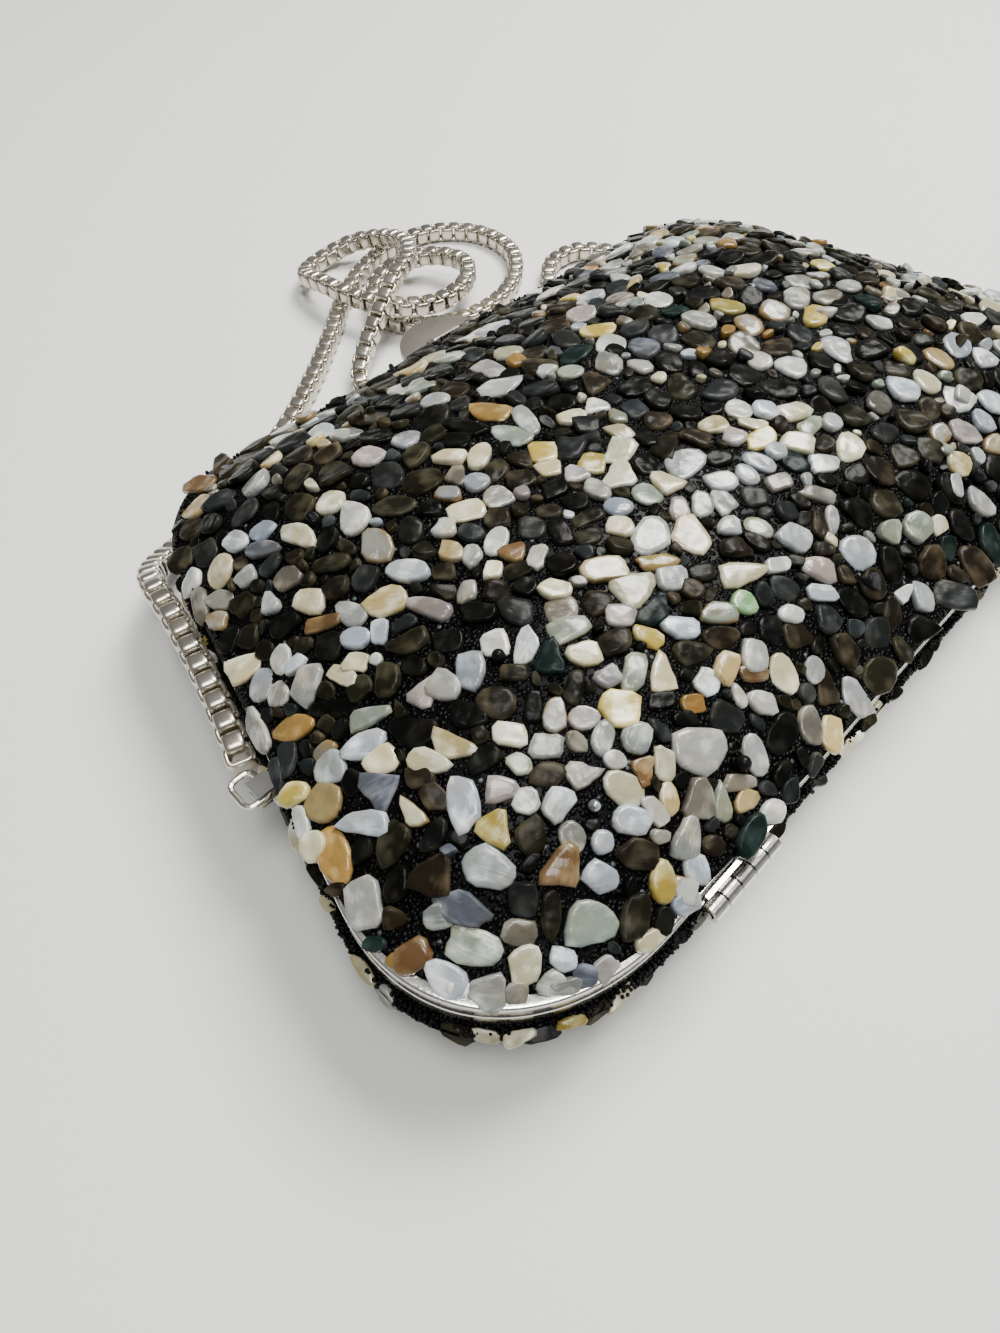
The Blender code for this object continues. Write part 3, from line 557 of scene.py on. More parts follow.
def loft(name, half, section, around, material):
    # a closed section in inset and height carried once round the case
    section = np.asarray(section, float)
    x, y = outlinePoint(section[:, :1], np.arange(around)[None] / around)
    z = partingZ + sideOf[half] * np.broadcast_to(section[:, 1:], x.shape)
    faces = gridFaces(len(section), around, closeRows=True)
    return addMesh(name, np.stack([x, y, z], -1) * mm, [outwards(half, faces)], material)


def weld(piece):
    # points that lie together become one
    together = 0.02 * mm
    bm = bmesh.new()
    bm.from_mesh(piece.data)
    bmesh.ops.remove_doubles(bm, verts=bm.verts, dist=together)
    bm.to_mesh(piece.data)
    bm.free()
    return piece


def domeSheet(name, half, section, rows, around, material, ripple=None):
    # the domed surface as a sheet; ripple moves it away from the parting plane, in mm, by its place; the
    # last row's two sides lie together on the middle line, so they are welded
    s, t = np.linspace(0, 1, rows)[:, None], np.arange(around)[None] / around
    verts = sectionPoint(section, half, s, t)
    if ripple is not None:
        verts[..., 2] += sideOf[half] * mm * ripple(verts[..., 0] / mm, verts[..., 1] / mm, s * len(section))
    return weld(addMesh(name, verts, [outwards(half, gridFaces(rows, around))], material))


# Cloths

def makeBeadedCloth():
    # black cloth packed with glass micro-beads: round bumps from a cell pattern; a few of them get a painted
    # glint, a lighter grey at their middles, and a lower roughness
    cloth = Surface("beadedCloth", Specular_IOR_Level=0.07)
    pattern, paintedGlintShare = {"Vector": cloth.place(), "Scale": 1400.0}, 0.975
    cell = cloth.node("TexVoronoi", {"feature": "F1"}, pattern)
    tone = cloth.node("TexVoronoi", {"feature": "F1"}, pattern, "Color")
    paintedGlintBeads = cloth.node("SeparateColor", None, {"Color": tone}, "Red") > paintedGlintShare
    centre = (1.0 - cell * 1.6).clamp()
    # painted glint: the middles of a few cells are painted a lighter grey
    cloth.set("Base Color", cloth.mix(paintedGlintBeads * centre, (0.0015, 0.0015, 0.0018), (0.13, 0.14, 0.15)))
    cloth.set("Roughness", (0.34 - paintedGlintBeads * 0.2).clamp())
    cloth.bump(centre ** 0.5, 0.30 * mm)
    return cloth.material


def makeSatin():
    # black satin: a fine diagonal weave and slow folds in its bump; the folds vary its gloss too, and its
    # tone as painted shade and sheen, darker in their hollows and lighter on their crests
    satin = Surface("blackSatin", Specular_IOR_Level=0.22, Sheen_Weight=0.04)
    place = satin.place()
    weave = satin.node("TexWave", {"bands_direction": "DIAGONAL"}, {"Vector": place, "Scale": 700.0,
                                                                     "Distortion": 0.4})
    fold = satin.noise(place, 45.0, 3.0)
    # painted shade and sheen: the tone is darker where the folds sink and lighter where they rise
    satin.set("Base Color", satin.mix(fold, (0.006, 0.006, 0.008), (0.015, 0.0145, 0.018)))
    satin.set("Roughness", (fold * 0.2 + 0.36).clamp())
    satin.bump(weave * 0.25 + fold * 3.0, 0.04 * mm)
    return satin.material


beadedCloth = makeBeadedCloth()
satin = makeSatin()
print("cloths made")

# Frames, cloth grounds and linings

rim = {"edgeRound": 0.35, "around": 480}
for half in ("back", "front"):
    low, top, flange = case["partingHalfGap"], case["bandTop"], case["flangeTop"]
    section = roundedLoop([(0, low), (0, top), (case["bandWall"], top), (case["bandWall"], flange),
                           (case["flangeWidth"], flange), (case["flangeWidth"], low)], rim["edgeRound"])
    band = loft(half + "Band", half, section, rim["around"], nickel)
    dress(band, half + "_half", "polished_nickel", half + "_frame")

ground = {
    "below": 1.2,
    "around": 360,
    "rows": 90,
    "wall": 0.35,
    "flat": {"back": (0.206, 0.137), "front": (0.198, 0.130)},       # cut sizes, in metres
    "cutArea": {"back": 0.0235, "front": 0.0214},
}
for half in ("back", "front"):
    section = domeSection(half, ground["below"])
    cloth = domeSheet(half + "Ground", half, section, ground["rows"], ground["around"], beadedCloth)
    giveWall(cloth, ground["wall"])
    dress(cloth, half + "_half", "shell_chip_cover", half + "_cover")

lining = {
    "below": 3.95,
    "around": 360,
    "rows": 80,
    "wall": 0.45,
    "fold": 0.22,
    "gatherFade": 16.0,
    "hollow": 1.2,              # depth of the slow hollows, of the fold's
    "pipeRadius": 0.55,
    "pipePoints": 12,
    "pipeOut": 0.1,             # the piping's middle, from the flange's edge and top
    "pipeUp": 0.75,
    "flat": (0.186, 0.119),
    "cutArea": 0.0185,
}


def liningFold(x, y, row):
    # shallow gathers that run in from the flange and fade towards the middle, over slow hollows; the waves
    # are in radians for each mm
    gathers = np.sin(x * 0.9 + np.sin(y * 0.31) * 2) * np.sin(y * 0.8 + np.sin(x * 0.23) * 2)
    return lining["fold"] * (gathers * np.exp(-row / lining["gatherFade"])
                             - lining["hollow"] * np.abs(np.sin(x * 0.07) * np.sin(y * 0.09)))


for half in ("back", "front"):
    section = domeSection("front", lining["below"], flared=False)
    section[:, 0] = np.maximum(section[:, 0], case["coverInset"] + lining["below"])
    inner = domeSheet(half + "Lining", half, section, lining["rows"], lining["around"], satin, liningFold)
    giveWall(inner, lining["wall"])
    dress(inner, half + "_half", "black_satin", half + "_lining")
    angles = np.linspace(0, 2 * math.pi, lining["pipePoints"] + 1)[:-1]
    pipe = np.stack([case["flangeWidth"] + lining["pipeOut"] + lining["pipeRadius"] * np.cos(angles),
                     case["flangeTop"] + lining["pipeUp"] + lining["pipeRadius"] * np.sin(angles)], -1)
    piping = loft(half + "Piping", half, pipe[::-1], lining["around"], satin)
    dress(piping, half + "_half", "black_satin")
paint(brass, "back_shell", "front_shell")
print("frames, grounds and linings made")

# Shell chips

chipKinds = {
    # share of the loose chips, colour, second colour, stripes, how much the second gathers at the edge,
    # roughness; on the dark kinds the lighter second colour at the edge is painted light showing through
    # their thin edges
    "white": (0.125, (0.31, 0.315, 0.30), (0.70, 0.70, 0.665), 0.40, 0.1, 0.20),
    "blueWhite": (0.072, (0.25, 0.27, 0.30), (0.58, 0.60, 0.635), 0.50, 0.2, 0.16),
    "cream": (0.070, (0.40, 0.355, 0.22), (0.70, 0.66, 0.53), 0.30, 0.3, 0.22),
    "pearl": (0.066, (0.17, 0.17, 0.152), (0.50, 0.49, 0.43), 0.50, 0.3, 0.16),
    "taupe": (0.046, (0.098, 0.088, 0.072), (0.26, 0.24, 0.20), 0.40, 0.4, 0.20),
    "sage": (0.030, (0.165, 0.185, 0.145), (0.38, 0.405, 0.325), 0.40, 0.3, 0.18),
    "tan": (0.020, (0.33, 0.245, 0.10), (0.62, 0.54, 0.37), 0.45, 0.6, 0.22),
    "yellow": (0.013, (0.33, 0.245, 0.045), (0.60, 0.53, 0.25), 0.40, 0.6, 0.20),
    "amber": (0.012, (0.20, 0.112, 0.028), (0.36, 0.235, 0.085), 0.40, 0.4, 0.18),
    "rust": (0.010, (0.085, 0.045, 0.018), (0.21, 0.145, 0.075), 0.40, 0.4, 0.18),
    "mauve": (0.012, (0.23, 0.20, 0.195), (0.50, 0.46, 0.43), 0.40, 0.3, 0.18),
    "violet": (0.018, (0.068, 0.072, 0.086), (0.20, 0.20, 0.225), 0.40, 0.4, 0.14),
    "graphite": (0.110, (0.011, 0.0125, 0.0125), (0.040, 0.042, 0.041), 0.25, 0.5, 0.16),
    "smoke": (0.200, (0.0027, 0.0027, 0.0024), (0.013, 0.0125, 0.0095), 0.20, 0.7, 0.14),
    "olive": (0.120, (0.008, 0.0075, 0.0042), (0.046, 0.041, 0.025), 0.25, 0.8, 0.16),
    "umber": (0.062, (0.0105, 0.0082, 0.0052), (0.060, 0.048, 0.031), 0.25, 0.8, 0.16),
    "teal": (0.012, (0.0045, 0.010, 0.0092), (0.023, 0.034, 0.030), 0.20, 0.5, 0.14),
    "green": (0.0, (0.13, 0.27, 0.11), (0.36, 0.50, 0.27), 0.60, 0.3, 0.14),     # only among the listed chips
}
kindNames = list(chipKinds)


def kindNumbers(names):
    return [kindNames.index(name) for name in names]


def makeShell(name, specular, gloss, coatShare):
    # each chip carries two colours and its own coordinates: clouds and bent growth lines mix the two, the
    # second colour gathers at the edge, where on dark chips it is a lighter rim of painted light showing
    # through their thin edges; a slow drift of hue is a painted pearl sheen, and pale chips gloss more
    shell = Surface(name, Specular_IOR_Level=specular, Coat_Roughness=0.08)
    local = shell.attribute("chipPlace", "Vector")
    main, second = shell.attribute("chipMain"), shell.attribute("chipSecond")
    look = shell.attribute("chipLook", "Vector")
    stripes, edge, rough = (shell.node("SeparateXYZ", None, {"Vector": look}, axis) for axis in "XYZ")
    cloud = shell.noise(local, 0.30, 1.5)
    drawn = shell.node("Mapping", None, {"Vector": local, "Scale": (0.25, 1.1, 0.3)})
    lines = shell.noise(drawn, 1.0, 3.0, Distortion=0.9)
    # edge: the second colour at the rim, on dark chips a painted glow of light through the thin edge
    growth = (cloud - 0.48) * 3.4 + (lines - 0.5) * stripes * 3.2 + edge * 0.8
    colour = shell.mix(growth.clamp(), main, second)
    stain = shell.node("ValToRGB", {"stops": [(0.30, (0.62, 0.58, 0.48)), (0.44, (1.0, 1.0, 1.0))]},
                       {"Fac": shell.noise(local, 0.9, 5.0)})
    # painted pearl sheen: a slow drift of hue stands in for the nacre's play of colour under light
    pearl = shell.node("ValToRGB", {"stops": [(0.32, (0.88, 0.97, 1.04)), (0.50, (0.97, 0.99, 0.98)),
                                              (0.68, (1.03, 0.99, 0.86))]},
                       {"Fac": shell.noise(local, 0.22, 1.0)})
    shell.set("Base Color", shell.multiply(0.8, shell.multiply(0.3, colour, stain), pearl))
    shell.set("Roughness", (rough + cloud * 0.16 - gloss).clamp())
    brightness = shell.node("RGBToBW", None, {"Color": main})
    shell.set("Coat Weight", (brightness * coatShare).clamp())
    swell = shell.noise(local, 0.34, 1.0)
    shell.bump(swell * 2.2 + lines * stripes * 0.5 + shell.noise(local, 1.9, 3.0) * 0.10, 0.26 * mm)
    return shell.material


paleShell = makeShell("paleShell", 0.35, 0.05, 1.9)
darkShell = makeShell("darkShell", 0.065, -0.05, 1.0)
darkKinds = kindNumbers(("violet", "graphite", "smoke", "olive", "umber", "teal"))

chips = {
    "candidates": 24000,          # places that a loose chip can take
    "tries": 2100,                # loose chips for each half, as many as find room
    "compared": 40,               # free places that a chip chooses from
    "radius": (0.85, 1.95, 3.8),  # smallest, typical, largest
    "spread": 0.38,               # of the radius, as the logarithm's deviation
    "crowding": 0.82,             # room that a loose chip takes, of its radius
    "fixedCrowding": 0.97,        # and that a chip with a given place takes, of its width
    "thickness": (0.9, 1.6),
    "wedge": 0.26,                # how much thicker one end of a chip is, as a deviation
    "mostWedge": 0.4,
    "lean": 0.21,
    "mostLean": 0.28,
    "leanLength": 2.2,            # a chip with more than this half length leans less
    "bend": 16.0,                 # of a chip's ends up and its sides down, or the other way, per metre
    "stretch": (1.0, 2.1),
    "stretchPower": 1.3,
    "corners": {0: 0.04, 3: 0.26, 4: 0.38, 5: 0.24, 6: 0.08},
    "cornerPower": 8.5,           # the larger, the sharper its corners
    "cornerTurn": 0.24,
    "roundReach": 1.20,           # of an outline without a side there
    "sideReach": 0.86,            # from the middle to a side
    "triangleReach": 0.66,
    "reachSpread": 0.10,
    "dents": (0.055, 0.045, 0.03, 0.02),   # unevenness of the outline, twofold to fivefold
    "dentStart": 6.3,             # each starts at a random angle up to this one, in radians
    "sides": 14,
    "pebblePower": 1.7,           # the larger, the more flat plates there are among the pebbles
    "lowest": {"back": 0.115, "front": 0.02},
    "sink": 0.5,                  # how far a chip's foot is below the ground
    "floorGap": 0.02,
    "overTop": 0.8,               # how far a chip may stand over the case
    "uppers": 90,                 # chips laid on top of others
    "upperLowest": 0.12,
    "upperRadius": (1.2, 2.1),
    "upperLift": (0.30, 0.60),
    "calm": 0.35,                 # of the lean and wedge, for chips with a given place
    "toneSpread": 0.20,
    "warmthSpread": 0.03,
    "brightest": 0.85,
    "stained": 0.08,              # share of the pale chips with a stained rim
    "stain": (0.19, 0.125, 0.055),
    "stainReach": 1.5,
    "farthest": 200,              # start of a chip's own coordinates, for its pattern
    "seed": {"back": 11, "front": 5},
}
# rings of a chip: foot, belly, edge, bevel, crown and the inside of its top; then its top's middle
plateSpread = np.array([0.90, 1.0, 0.99, 0.945, 0.86, 0.78])
plateHeight = np.array([0.0, 0.32, 0.74, 0.94, 1.0, 1.005])
pebbleSpread = np.array([0.78, 1.0, 0.95, 0.80, 0.60, 0.38])
pebbleHeight = np.array([0.0, 0.44, 0.78, 0.95, 1.02, 1.05])
# on dark chips the second colour at the rim is painted light through their thin edges; on pale chips it is
# their own two-tone colour or stain
edgeGlowAndTone = [1.0, 1.0, 0.75, 0.45, 0.15, 0.05]      # how far each ring takes the second colour
plateTop, pebbleRise, footMiddle = 1.01, 0.05, 0.1

# The front's chips that the photograph shows best, listed one by one: kind, middle of the chip across and
# down the picture, its length and width there, its long side's direction in degrees from the right, and
# corners.
seenChips = [
    ("cream", 510, 735, 37, 28, -5, 4), ("pearl", 548, 745, 37, 28, 0, 4),
    ("mauve", 585, 718, 32, 25, 5, 0), ("white", 554, 713, 37, 25, 90, 4),
    ("yellow", 618, 707, 45, 38, 0, 5), ("pearl", 603, 738, 35, 25, 65, 0),
    ("pearl", 637, 738, 34, 31, 80, 0), ("white", 616, 759, 25, 20, -10, 0),
    ("rust", 645, 768, 30, 22, 45, 3), ("cream", 667, 762, 36, 24, 90, 4),
    ("white", 703, 748, 55, 50, 20, 5), ("white", 757, 755, 43, 23, 105, 0),
    ("sage", 519, 763, 26, 23, 0, 5), ("umber", 548, 773, 34, 29, -20, 4),
    ("pearl", 585, 777, 35, 26, 20, 3), ("cream", 623, 787, 41, 38, 0, 4),
    ("mauve", 497, 788, 33, 31, 0, 3), ("pearl", 527, 800, 32, 26, -60, 5),
    ("white", 557, 805, 38, 32, 60, 4), ("blueWhite", 463, 800, 58, 35, 100, 4),
    ("tan", 671, 799, 37, 19, 95, 0), ("taupe", 698, 802, 40, 32, 100, 3),
    ("white", 657, 810, 38, 19, 130, 4), ("blueWhite", 633, 821, 40, 32, -5, 0),
    ("tan", 747, 800, 28, 23, 60, 5), ("sage", 722, 807, 38, 18, 95, 3), ("white", 777, 813, 29, 26, 20, 5),
    ("teal", 753, 835, 50, 24, 62, 0), ("umber", 714, 846, 25, 22, 0, 0),
    ("pearl", 688, 843, 50, 29, 75, 3), ("blueWhite", 698, 867, 36, 26, 100, 4),
    ("umber", 638, 855, 43, 34, 0, 5), ("blueWhite", 603, 843, 27, 23, 90, 0),
    ("pearl", 573, 837, 35, 28, 110, 0), ("yellow", 495, 827, 37, 35, 60, 3),
    ("olive", 532, 835, 38, 34, 30, 4), ("rust", 562, 871, 44, 40, 80, 3),
    ("blueWhite", 603, 878, 38, 32, 5, 5), ("yellow", 664, 882, 47, 26, 95, 0),
    ("white", 687, 890, 32, 26, 80, 4), ("blueWhite", 692, 908, 34, 22, 25, 4),
    ("white", 487, 868, 57, 43, -15, 5), ("umber", 432, 878, 49, 38, 65, 3),
    ("violet", 468, 908, 62, 31, -30, 3), ("sage", 473, 947, 62, 41, -25, 4),
    ("pearl", 435, 918, 30, 29, 0, 4), ("white", 363, 903, 54, 41, 98, 4),
    ("amber", 334, 854, 66, 33, 105, 0), ("cream", 296, 854, 32, 25, 95, 0),
    ("blueWhite", 364, 823, 48, 28, -6, 4), ("cream", 412, 815, 33, 21, 120, 3),
    ("olive", 392, 843, 52, 30, 55, 0), ("tan", 323, 803, 43, 36, 60, 0),
    ("yellow", 293, 793, 29, 26, 0, 4), ("white", 298, 823, 35, 18, 100, 4),
    ("violet", 380, 790, 43, 32, 40, 3), ("umber", 418, 775, 32, 27, 0, 5),
    ("umber", 434, 797, 33, 27, -40, 4), ("cream", 428, 762, 42, 28, -5, 5),
    ("tan", 450, 747, 42, 29, -10, 3), ("cream", 377, 763, 38, 29, 25, 4),
    ("blueWhite", 363, 745, 42, 29, 15, 5), ("white", 329, 767, 32, 30, 80, 0),
    ("taupe", 323, 751, 28, 16, 40, 4), ("sage", 366, 717, 38, 23, 15, 3),
    ("smoke", 413, 730, 50, 29, 15, 4), ("amber", 292, 728, 43, 27, 8, 5),
    ("taupe", 517, 933, 37, 31, 10, 5), ("olive", 551, 917, 50, 23, 92, 5),
    ("sage", 592, 922, 54, 49, 20, 4), ("olive", 635, 918, 55, 28, 76, 4),
    ("smoke", 664, 921, 31, 20, 80, 4), ("cream", 525, 965, 42, 36, 55, 5),
    ("blueWhite", 563, 960, 30, 26, -10, 5), ("pearl", 557, 985, 40, 24, -10, 3),
    ("violet", 588, 980, 28, 26, 0, 5), ("mauve", 613, 981, 33, 21, 50, 4),
    ("rust", 411, 955, 44, 34, 25, 4), ("amber", 390, 976, 32, 18, -35, 4),
    ("blueWhite", 445, 978, 50, 33, -25, 0), ("teal", 371, 947, 22, 19, 0, 4),
    ("pearl", 487, 993, 42, 36, 10, 4), ("taupe", 518, 1004, 28, 24, 60, 5),
    ("white", 455, 1001, 28, 16, -15, 4), ("pearl", 568, 1000, 33, 16, 8, 4),
    ("umber", 322, 897, 18, 15, 0, 5), ("smoke", 395, 887, 36, 28, 70, 5),
    ("cream", 657, 948, 34, 20, 38, 4), ("blueWhite", 235, 541, 23, 22, 0, 0),
    ("blueWhite", 260, 531, 24, 22, 0, 5), ("violet", 261, 550, 34, 17, 10, 0),
    ("cream", 297, 535, 38, 24, -15, 4), ("cream", 218, 571, 41, 23, 72, 0),
    ("white", 245, 577, 26, 18, 35, 4), ("graphite", 205, 554, 33, 19, 60, 5),
    ("taupe", 286, 579, 27, 24, 80, 5), ("olive", 329, 564, 38, 19, 0, 4),
    ("umber", 335, 587, 26, 22, 0, 5), ("blueWhite", 408, 571, 46, 23, -8, 0),
    ("cream", 309, 601, 36, 27, 0, 4), ("white", 270, 604, 25, 16, 90, 3), ("tan", 387, 600, 48, 28, 10, 5),
    ("mauve", 431, 608, 46, 23, -18, 5), ("white", 350, 613, 33, 25, -25, 0),
    ("blueWhite", 355, 639, 28, 23, 0, 0), ("blueWhite", 379, 631, 28, 18, 88, 4),
    ("olive", 242, 603, 30, 21, 45, 4), ("taupe", 200, 605, 37, 18, 100, 4),
    ("pearl", 220, 600, 24, 22, 0, 5), ("white", 217, 621, 22, 20, 0, 5), ("rust", 320, 624, 38, 16, 15, 4),
    ("smoke", 327, 645, 34, 27, 40, 5), ("olive", 409, 642, 48, 20, 22, 4),
    ("cream", 357, 662, 26, 20, -5, 4), ("cream", 240, 670, 36, 30, 30, 3),
    ("white", 280, 659, 28, 22, 50, 0), ("blueWhite", 296, 665, 25, 12, 45, 4),
    ("blueWhite", 261, 682, 40, 20, 80, 4), ("white", 306, 684, 43, 29, 72, 4),
    ("pearl", 277, 695, 31, 20, 75, 0), ("cream", 341, 675, 32, 20, -15, 4),
    ("olive", 361, 687, 27, 24, 80, 5), ("olive", 387, 680, 42, 24, 85, 4),
    ("smoke", 332, 706, 52, 19, 5, 4), ("mauve", 422, 692, 38, 26, 45, 3),
    ("white", 443, 685, 35, 33, -20, 4), ("blueWhite", 470, 672, 41, 32, 105, 5),
    ("pearl", 257, 730, 48, 19, 112, 0), ("graphite", 286, 757, 34, 22, 100, 4),
    ("graphite", 268, 777, 36, 14, 105, 4), ("smoke", 227, 640, 33, 18, 70, 4),
    ("olive", 248, 637, 23, 18, 80, 4), ("umber", 192, 529, 24, 19, 20, 0),
    ("sage", 635, 671, 37, 30, 80, 4), ("cream", 664, 672, 40, 26, 100, 3),
    ("mauve", 610, 676, 27, 24, 30, 4), ("olive", 691, 652, 38, 26, -10, 5),
    ("tan", 727, 669, 38, 23, 65, 4), ("blueWhite", 709, 680, 29, 28, 0, 5),
    ("white", 757, 654, 36, 26, 90, 4), ("rust", 755, 673, 30, 19, -5, 4),
    ("cream", 785, 673, 45, 24, 110, 0), ("white", 817, 669, 29, 19, 80, 0),
    ("umber", 848, 650, 41, 21, 112, 4), ("umber", 830, 690, 38, 21, 98, 3),
    ("white", 740, 695, 29, 12, 110, 0), ("white", 762, 702, 30, 26, -10, 5),
    ("smoke", 664, 700, 34, 18, 5, 4), ("amber", 695, 704, 26, 22, 0, 4),
    ("graphite", 727, 717, 38, 31, -30, 4), ("smoke", 686, 717, 28, 15, 10, 4),
    ("taupe", 812, 725, 43, 23, 102, 0), ("tan", 835, 732, 37, 24, 82, 4),
    ("smoke", 784, 773, 29, 19, 62, 0), ("taupe", 741, 783, 35, 19, 0, 4),
    ("graphite", 796, 793, 28, 17, 100, 4), ("graphite", 821, 768, 25, 14, 70, 4),
    ("smoke", 453, 340, 17, 11, 30, 0), ("white", 472, 335, 24, 13, 5, 4),
    ("blueWhite", 494, 327, 24, 10, 15, 4), ("cream", 431, 358, 22, 11, 20, 4),
    ("sage", 451, 357, 23, 12, 25, 4), ("tan", 414, 369, 26, 10, 25, 4), ("smoke", 440, 372, 27, 14, 20, 4),
    ("graphite", 470, 353, 30, 17, -25, 4), ("mauve", 488, 366, 36, 17, -18, 4),
    ("cream", 507, 352, 18, 13, 0, 0), ("white", 499, 385, 46, 19, 0, 4),
    ("umber", 456, 389, 28, 16, -10, 4), ("white", 400, 387, 25, 18, 0, 5),
    ("sage", 420, 386, 21, 12, 10, 3), ("white", 434, 399, 24, 15, 0, 0),
    ("graphite", 411, 380, 20, 8, 20, 4), ("taupe", 467, 589, 26, 19, 90, 4),
    ("umber", 443, 571, 26, 18, 0, 4), ("cream", 493, 570, 20, 18, 0, 4),
    ("olive", 517, 570, 32, 17, 20, 4), ("cream", 554, 589, 33, 21, 0, 5),
    ("cream", 606, 569, 52, 26, 10, 4), ("cream", 634, 588, 44, 38, 20, 3),
    ("white", 672, 578, 36, 25, 10, 4), ("yellow", 657, 560, 44, 17, 10, 4),
    ("umber", 693, 589, 26, 18, -30, 4), ("graphite", 518, 610, 38, 29, 0, 4),
    ("taupe", 559, 608, 38, 25, 10, 4), ("umber", 596, 602, 32, 25, -20, 5),
    ("sage", 568, 628, 45, 27, 22, 4), ("mauve", 620, 615, 36, 22, -5, 4),
    ("teal", 655, 612, 36, 26, 40, 4), ("smoke", 477, 613, 36, 22, -5, 4),
    ("blueWhite", 681, 626, 40, 23, -5, 5), ("sage", 720, 612, 36, 24, 5, 4),
    ("green", 745, 603, 27, 25, 0, 0), ("white", 793, 614, 26, 20, 0, 0), ("cream", 740, 572, 48, 25, 10, 3),
    ("white", 778, 565, 28, 17, 0, 4), ("mauve", 820, 570, 34, 26, 0, 4),
    ("blueWhite", 824, 592, 28, 20, 0, 4), ("umber", 722, 636, 38, 24, 10, 0),
    ("yellow", 648, 636, 38, 18, -25, 4), ("smoke", 772, 628, 30, 26, 90, 4),
    ("umber", 798, 634, 28, 26, 110, 4), ("smoke", 447, 640, 36, 22, 10, 4),
    ("white", 494, 641, 33, 28, 10, 4), ("white", 527, 644, 40, 24, 70, 4),
    ("teal", 551, 660, 34, 30, 60, 3), ("olive", 514, 672, 34, 18, 0, 4), ("cream", 587, 654, 35, 27, 0, 5),
    ("olive", 575, 686, 35, 22, 80, 4), ("smoke", 533, 705, 38, 22, 85, 4),
    ("umber", 497, 703, 43, 32, 0, 0), ("smoke", 469, 713, 38, 30, 0, 4), ("smoke", 499, 657, 13, 13, 0, 0),
    ("smoke", 594, 807, 12, 12, 0, 0), ("smoke", 740, 763, 14, 14, 0, 0), ("amber", 491, 411, 42, 19, 0, 4),
    ("white", 526, 419, 34, 20, -55, 0), ("sage", 513, 433, 42, 20, -18, 0),
    ("cream", 572, 417, 30, 15, 8, 4), ("graphite", 586, 424, 30, 17, 10, 4),
    ("white", 597, 404, 26, 15, 0, 4), ("sage", 618, 416, 22, 12, -10, 4),
    ("cream", 619, 429, 32, 15, -28, 4), ("cream", 620, 450, 32, 28, 60, 4),
    ("cream", 622, 475, 33, 24, -15, 3), ("yellow", 543, 450, 26, 23, 0, 4),
    ("graphite", 570, 447, 30, 22, 0, 4), ("cream", 480, 455, 31, 20, 62, 0),
    ("cream", 449, 456, 32, 16, -10, 4), ("taupe", 456, 473, 24, 19, 60, 3),
    ("blueWhite", 476, 481, 25, 21, -20, 0), ("umber", 522, 457, 28, 18, -15, 4),
    ("olive", 497, 468, 25, 22, 70, 0), ("umber", 520, 478, 32, 20, 10, 4),
    ("cream", 552, 469, 28, 18, 10, 4), ("yellow", 594, 463, 23, 20, 0, 5),
    ("mauve", 576, 473, 29, 15, 5, 3), ("smoke", 554, 489, 31, 17, 15, 4),
    ("pearl", 597, 489, 32, 17, -15, 4), ("sage", 648, 493, 32, 24, 0, 0),
    ("cream", 668, 483, 24, 23, 0, 3), ("white", 687, 461, 37, 29, -5, 5),
    ("white", 720, 480, 32, 20, 0, 4), ("pearl", 702, 503, 26, 24, 60, 4),
    ("pearl", 724, 500, 32, 22, -50, 4), ("mauve", 680, 507, 26, 20, 100, 4),
    ("blueWhite", 619, 506, 31, 18, -5, 0), ("cream", 621, 525, 25, 22, 0, 5),
    ("white", 651, 533, 40, 37, 90, 5), ("cream", 694, 536, 44, 33, -40, 4),
    ("white", 730, 526, 28, 18, -15, 4), ("sage", 759, 526, 35, 17, -28, 0),
    ("white", 797, 537, 34, 29, 0, 5), ("graphite", 786, 511, 26, 18, -10, 4),
    ("mauve", 833, 519, 31, 13, 100, 0), ("umber", 820, 522, 29, 16, 85, 4),
    ("taupe", 779, 483, 28, 18, 10, 4), ("white", 825, 462, 32, 19, 5, 4), ("teal", 795, 462, 26, 21, 0, 5),
    ("blueWhite", 761, 461, 36, 17, -22, 0), ("blueWhite", 748, 474, 27, 17, -40, 0),
    ("blueWhite", 777, 450, 20, 18, 0, 0), ("yellow", 762, 437, 32, 20, 20, 4),
    ("cream", 798, 442, 36, 20, -10, 4), ("mauve", 734, 436, 23, 17, -20, 4),
    ("tan", 714, 423, 31, 18, 5, 0), ("umber", 697, 437, 36, 16, -10, 4),
    ("olive", 667, 444, 32, 24, 60, 3), ("umber", 658, 420, 27, 18, -15, 0),
    ("smoke", 645, 434, 26, 17, -60, 4), ("smoke", 465, 426, 40, 15, -15, 4),
    ("smoke", 457, 440, 22, 17, 0, 4), ("smoke", 576, 500, 30, 17, 0, 4), ("umber", 549, 509, 27, 15, 0, 4),
    ("olive", 588, 515, 34, 15, 25, 4), ("olive", 590, 534, 34, 18, 15, 4),
    ("smoke", 560, 530, 30, 22, -70, 4), ("graphite", 530, 526, 30, 22, 5, 4),
    ("cream", 465, 509, 42, 22, 12, 4), ("pearl", 498, 496, 28, 23, 30, 4),
    ("blueWhite", 448, 494, 28, 14, 0, 4), ("mauve", 522, 493, 17, 12, 0, 0),
    ("white", 446, 528, 22, 20, 0, 4), ("graphite", 471, 533, 28, 17, 0, 0),
    ("white", 496, 540, 30, 24, 70, 0), ("tan", 449, 551, 23, 21, 0, 4), ("rust", 513, 550, 26, 20, 45, 3),
    ("white", 538, 555, 26, 20, 70, 4), ("pearl", 471, 556, 24, 20, 60, 4),
    ("umber", 735, 547, 34, 20, 5, 4), ("smoke", 757, 541, 30, 15, -20, 4),
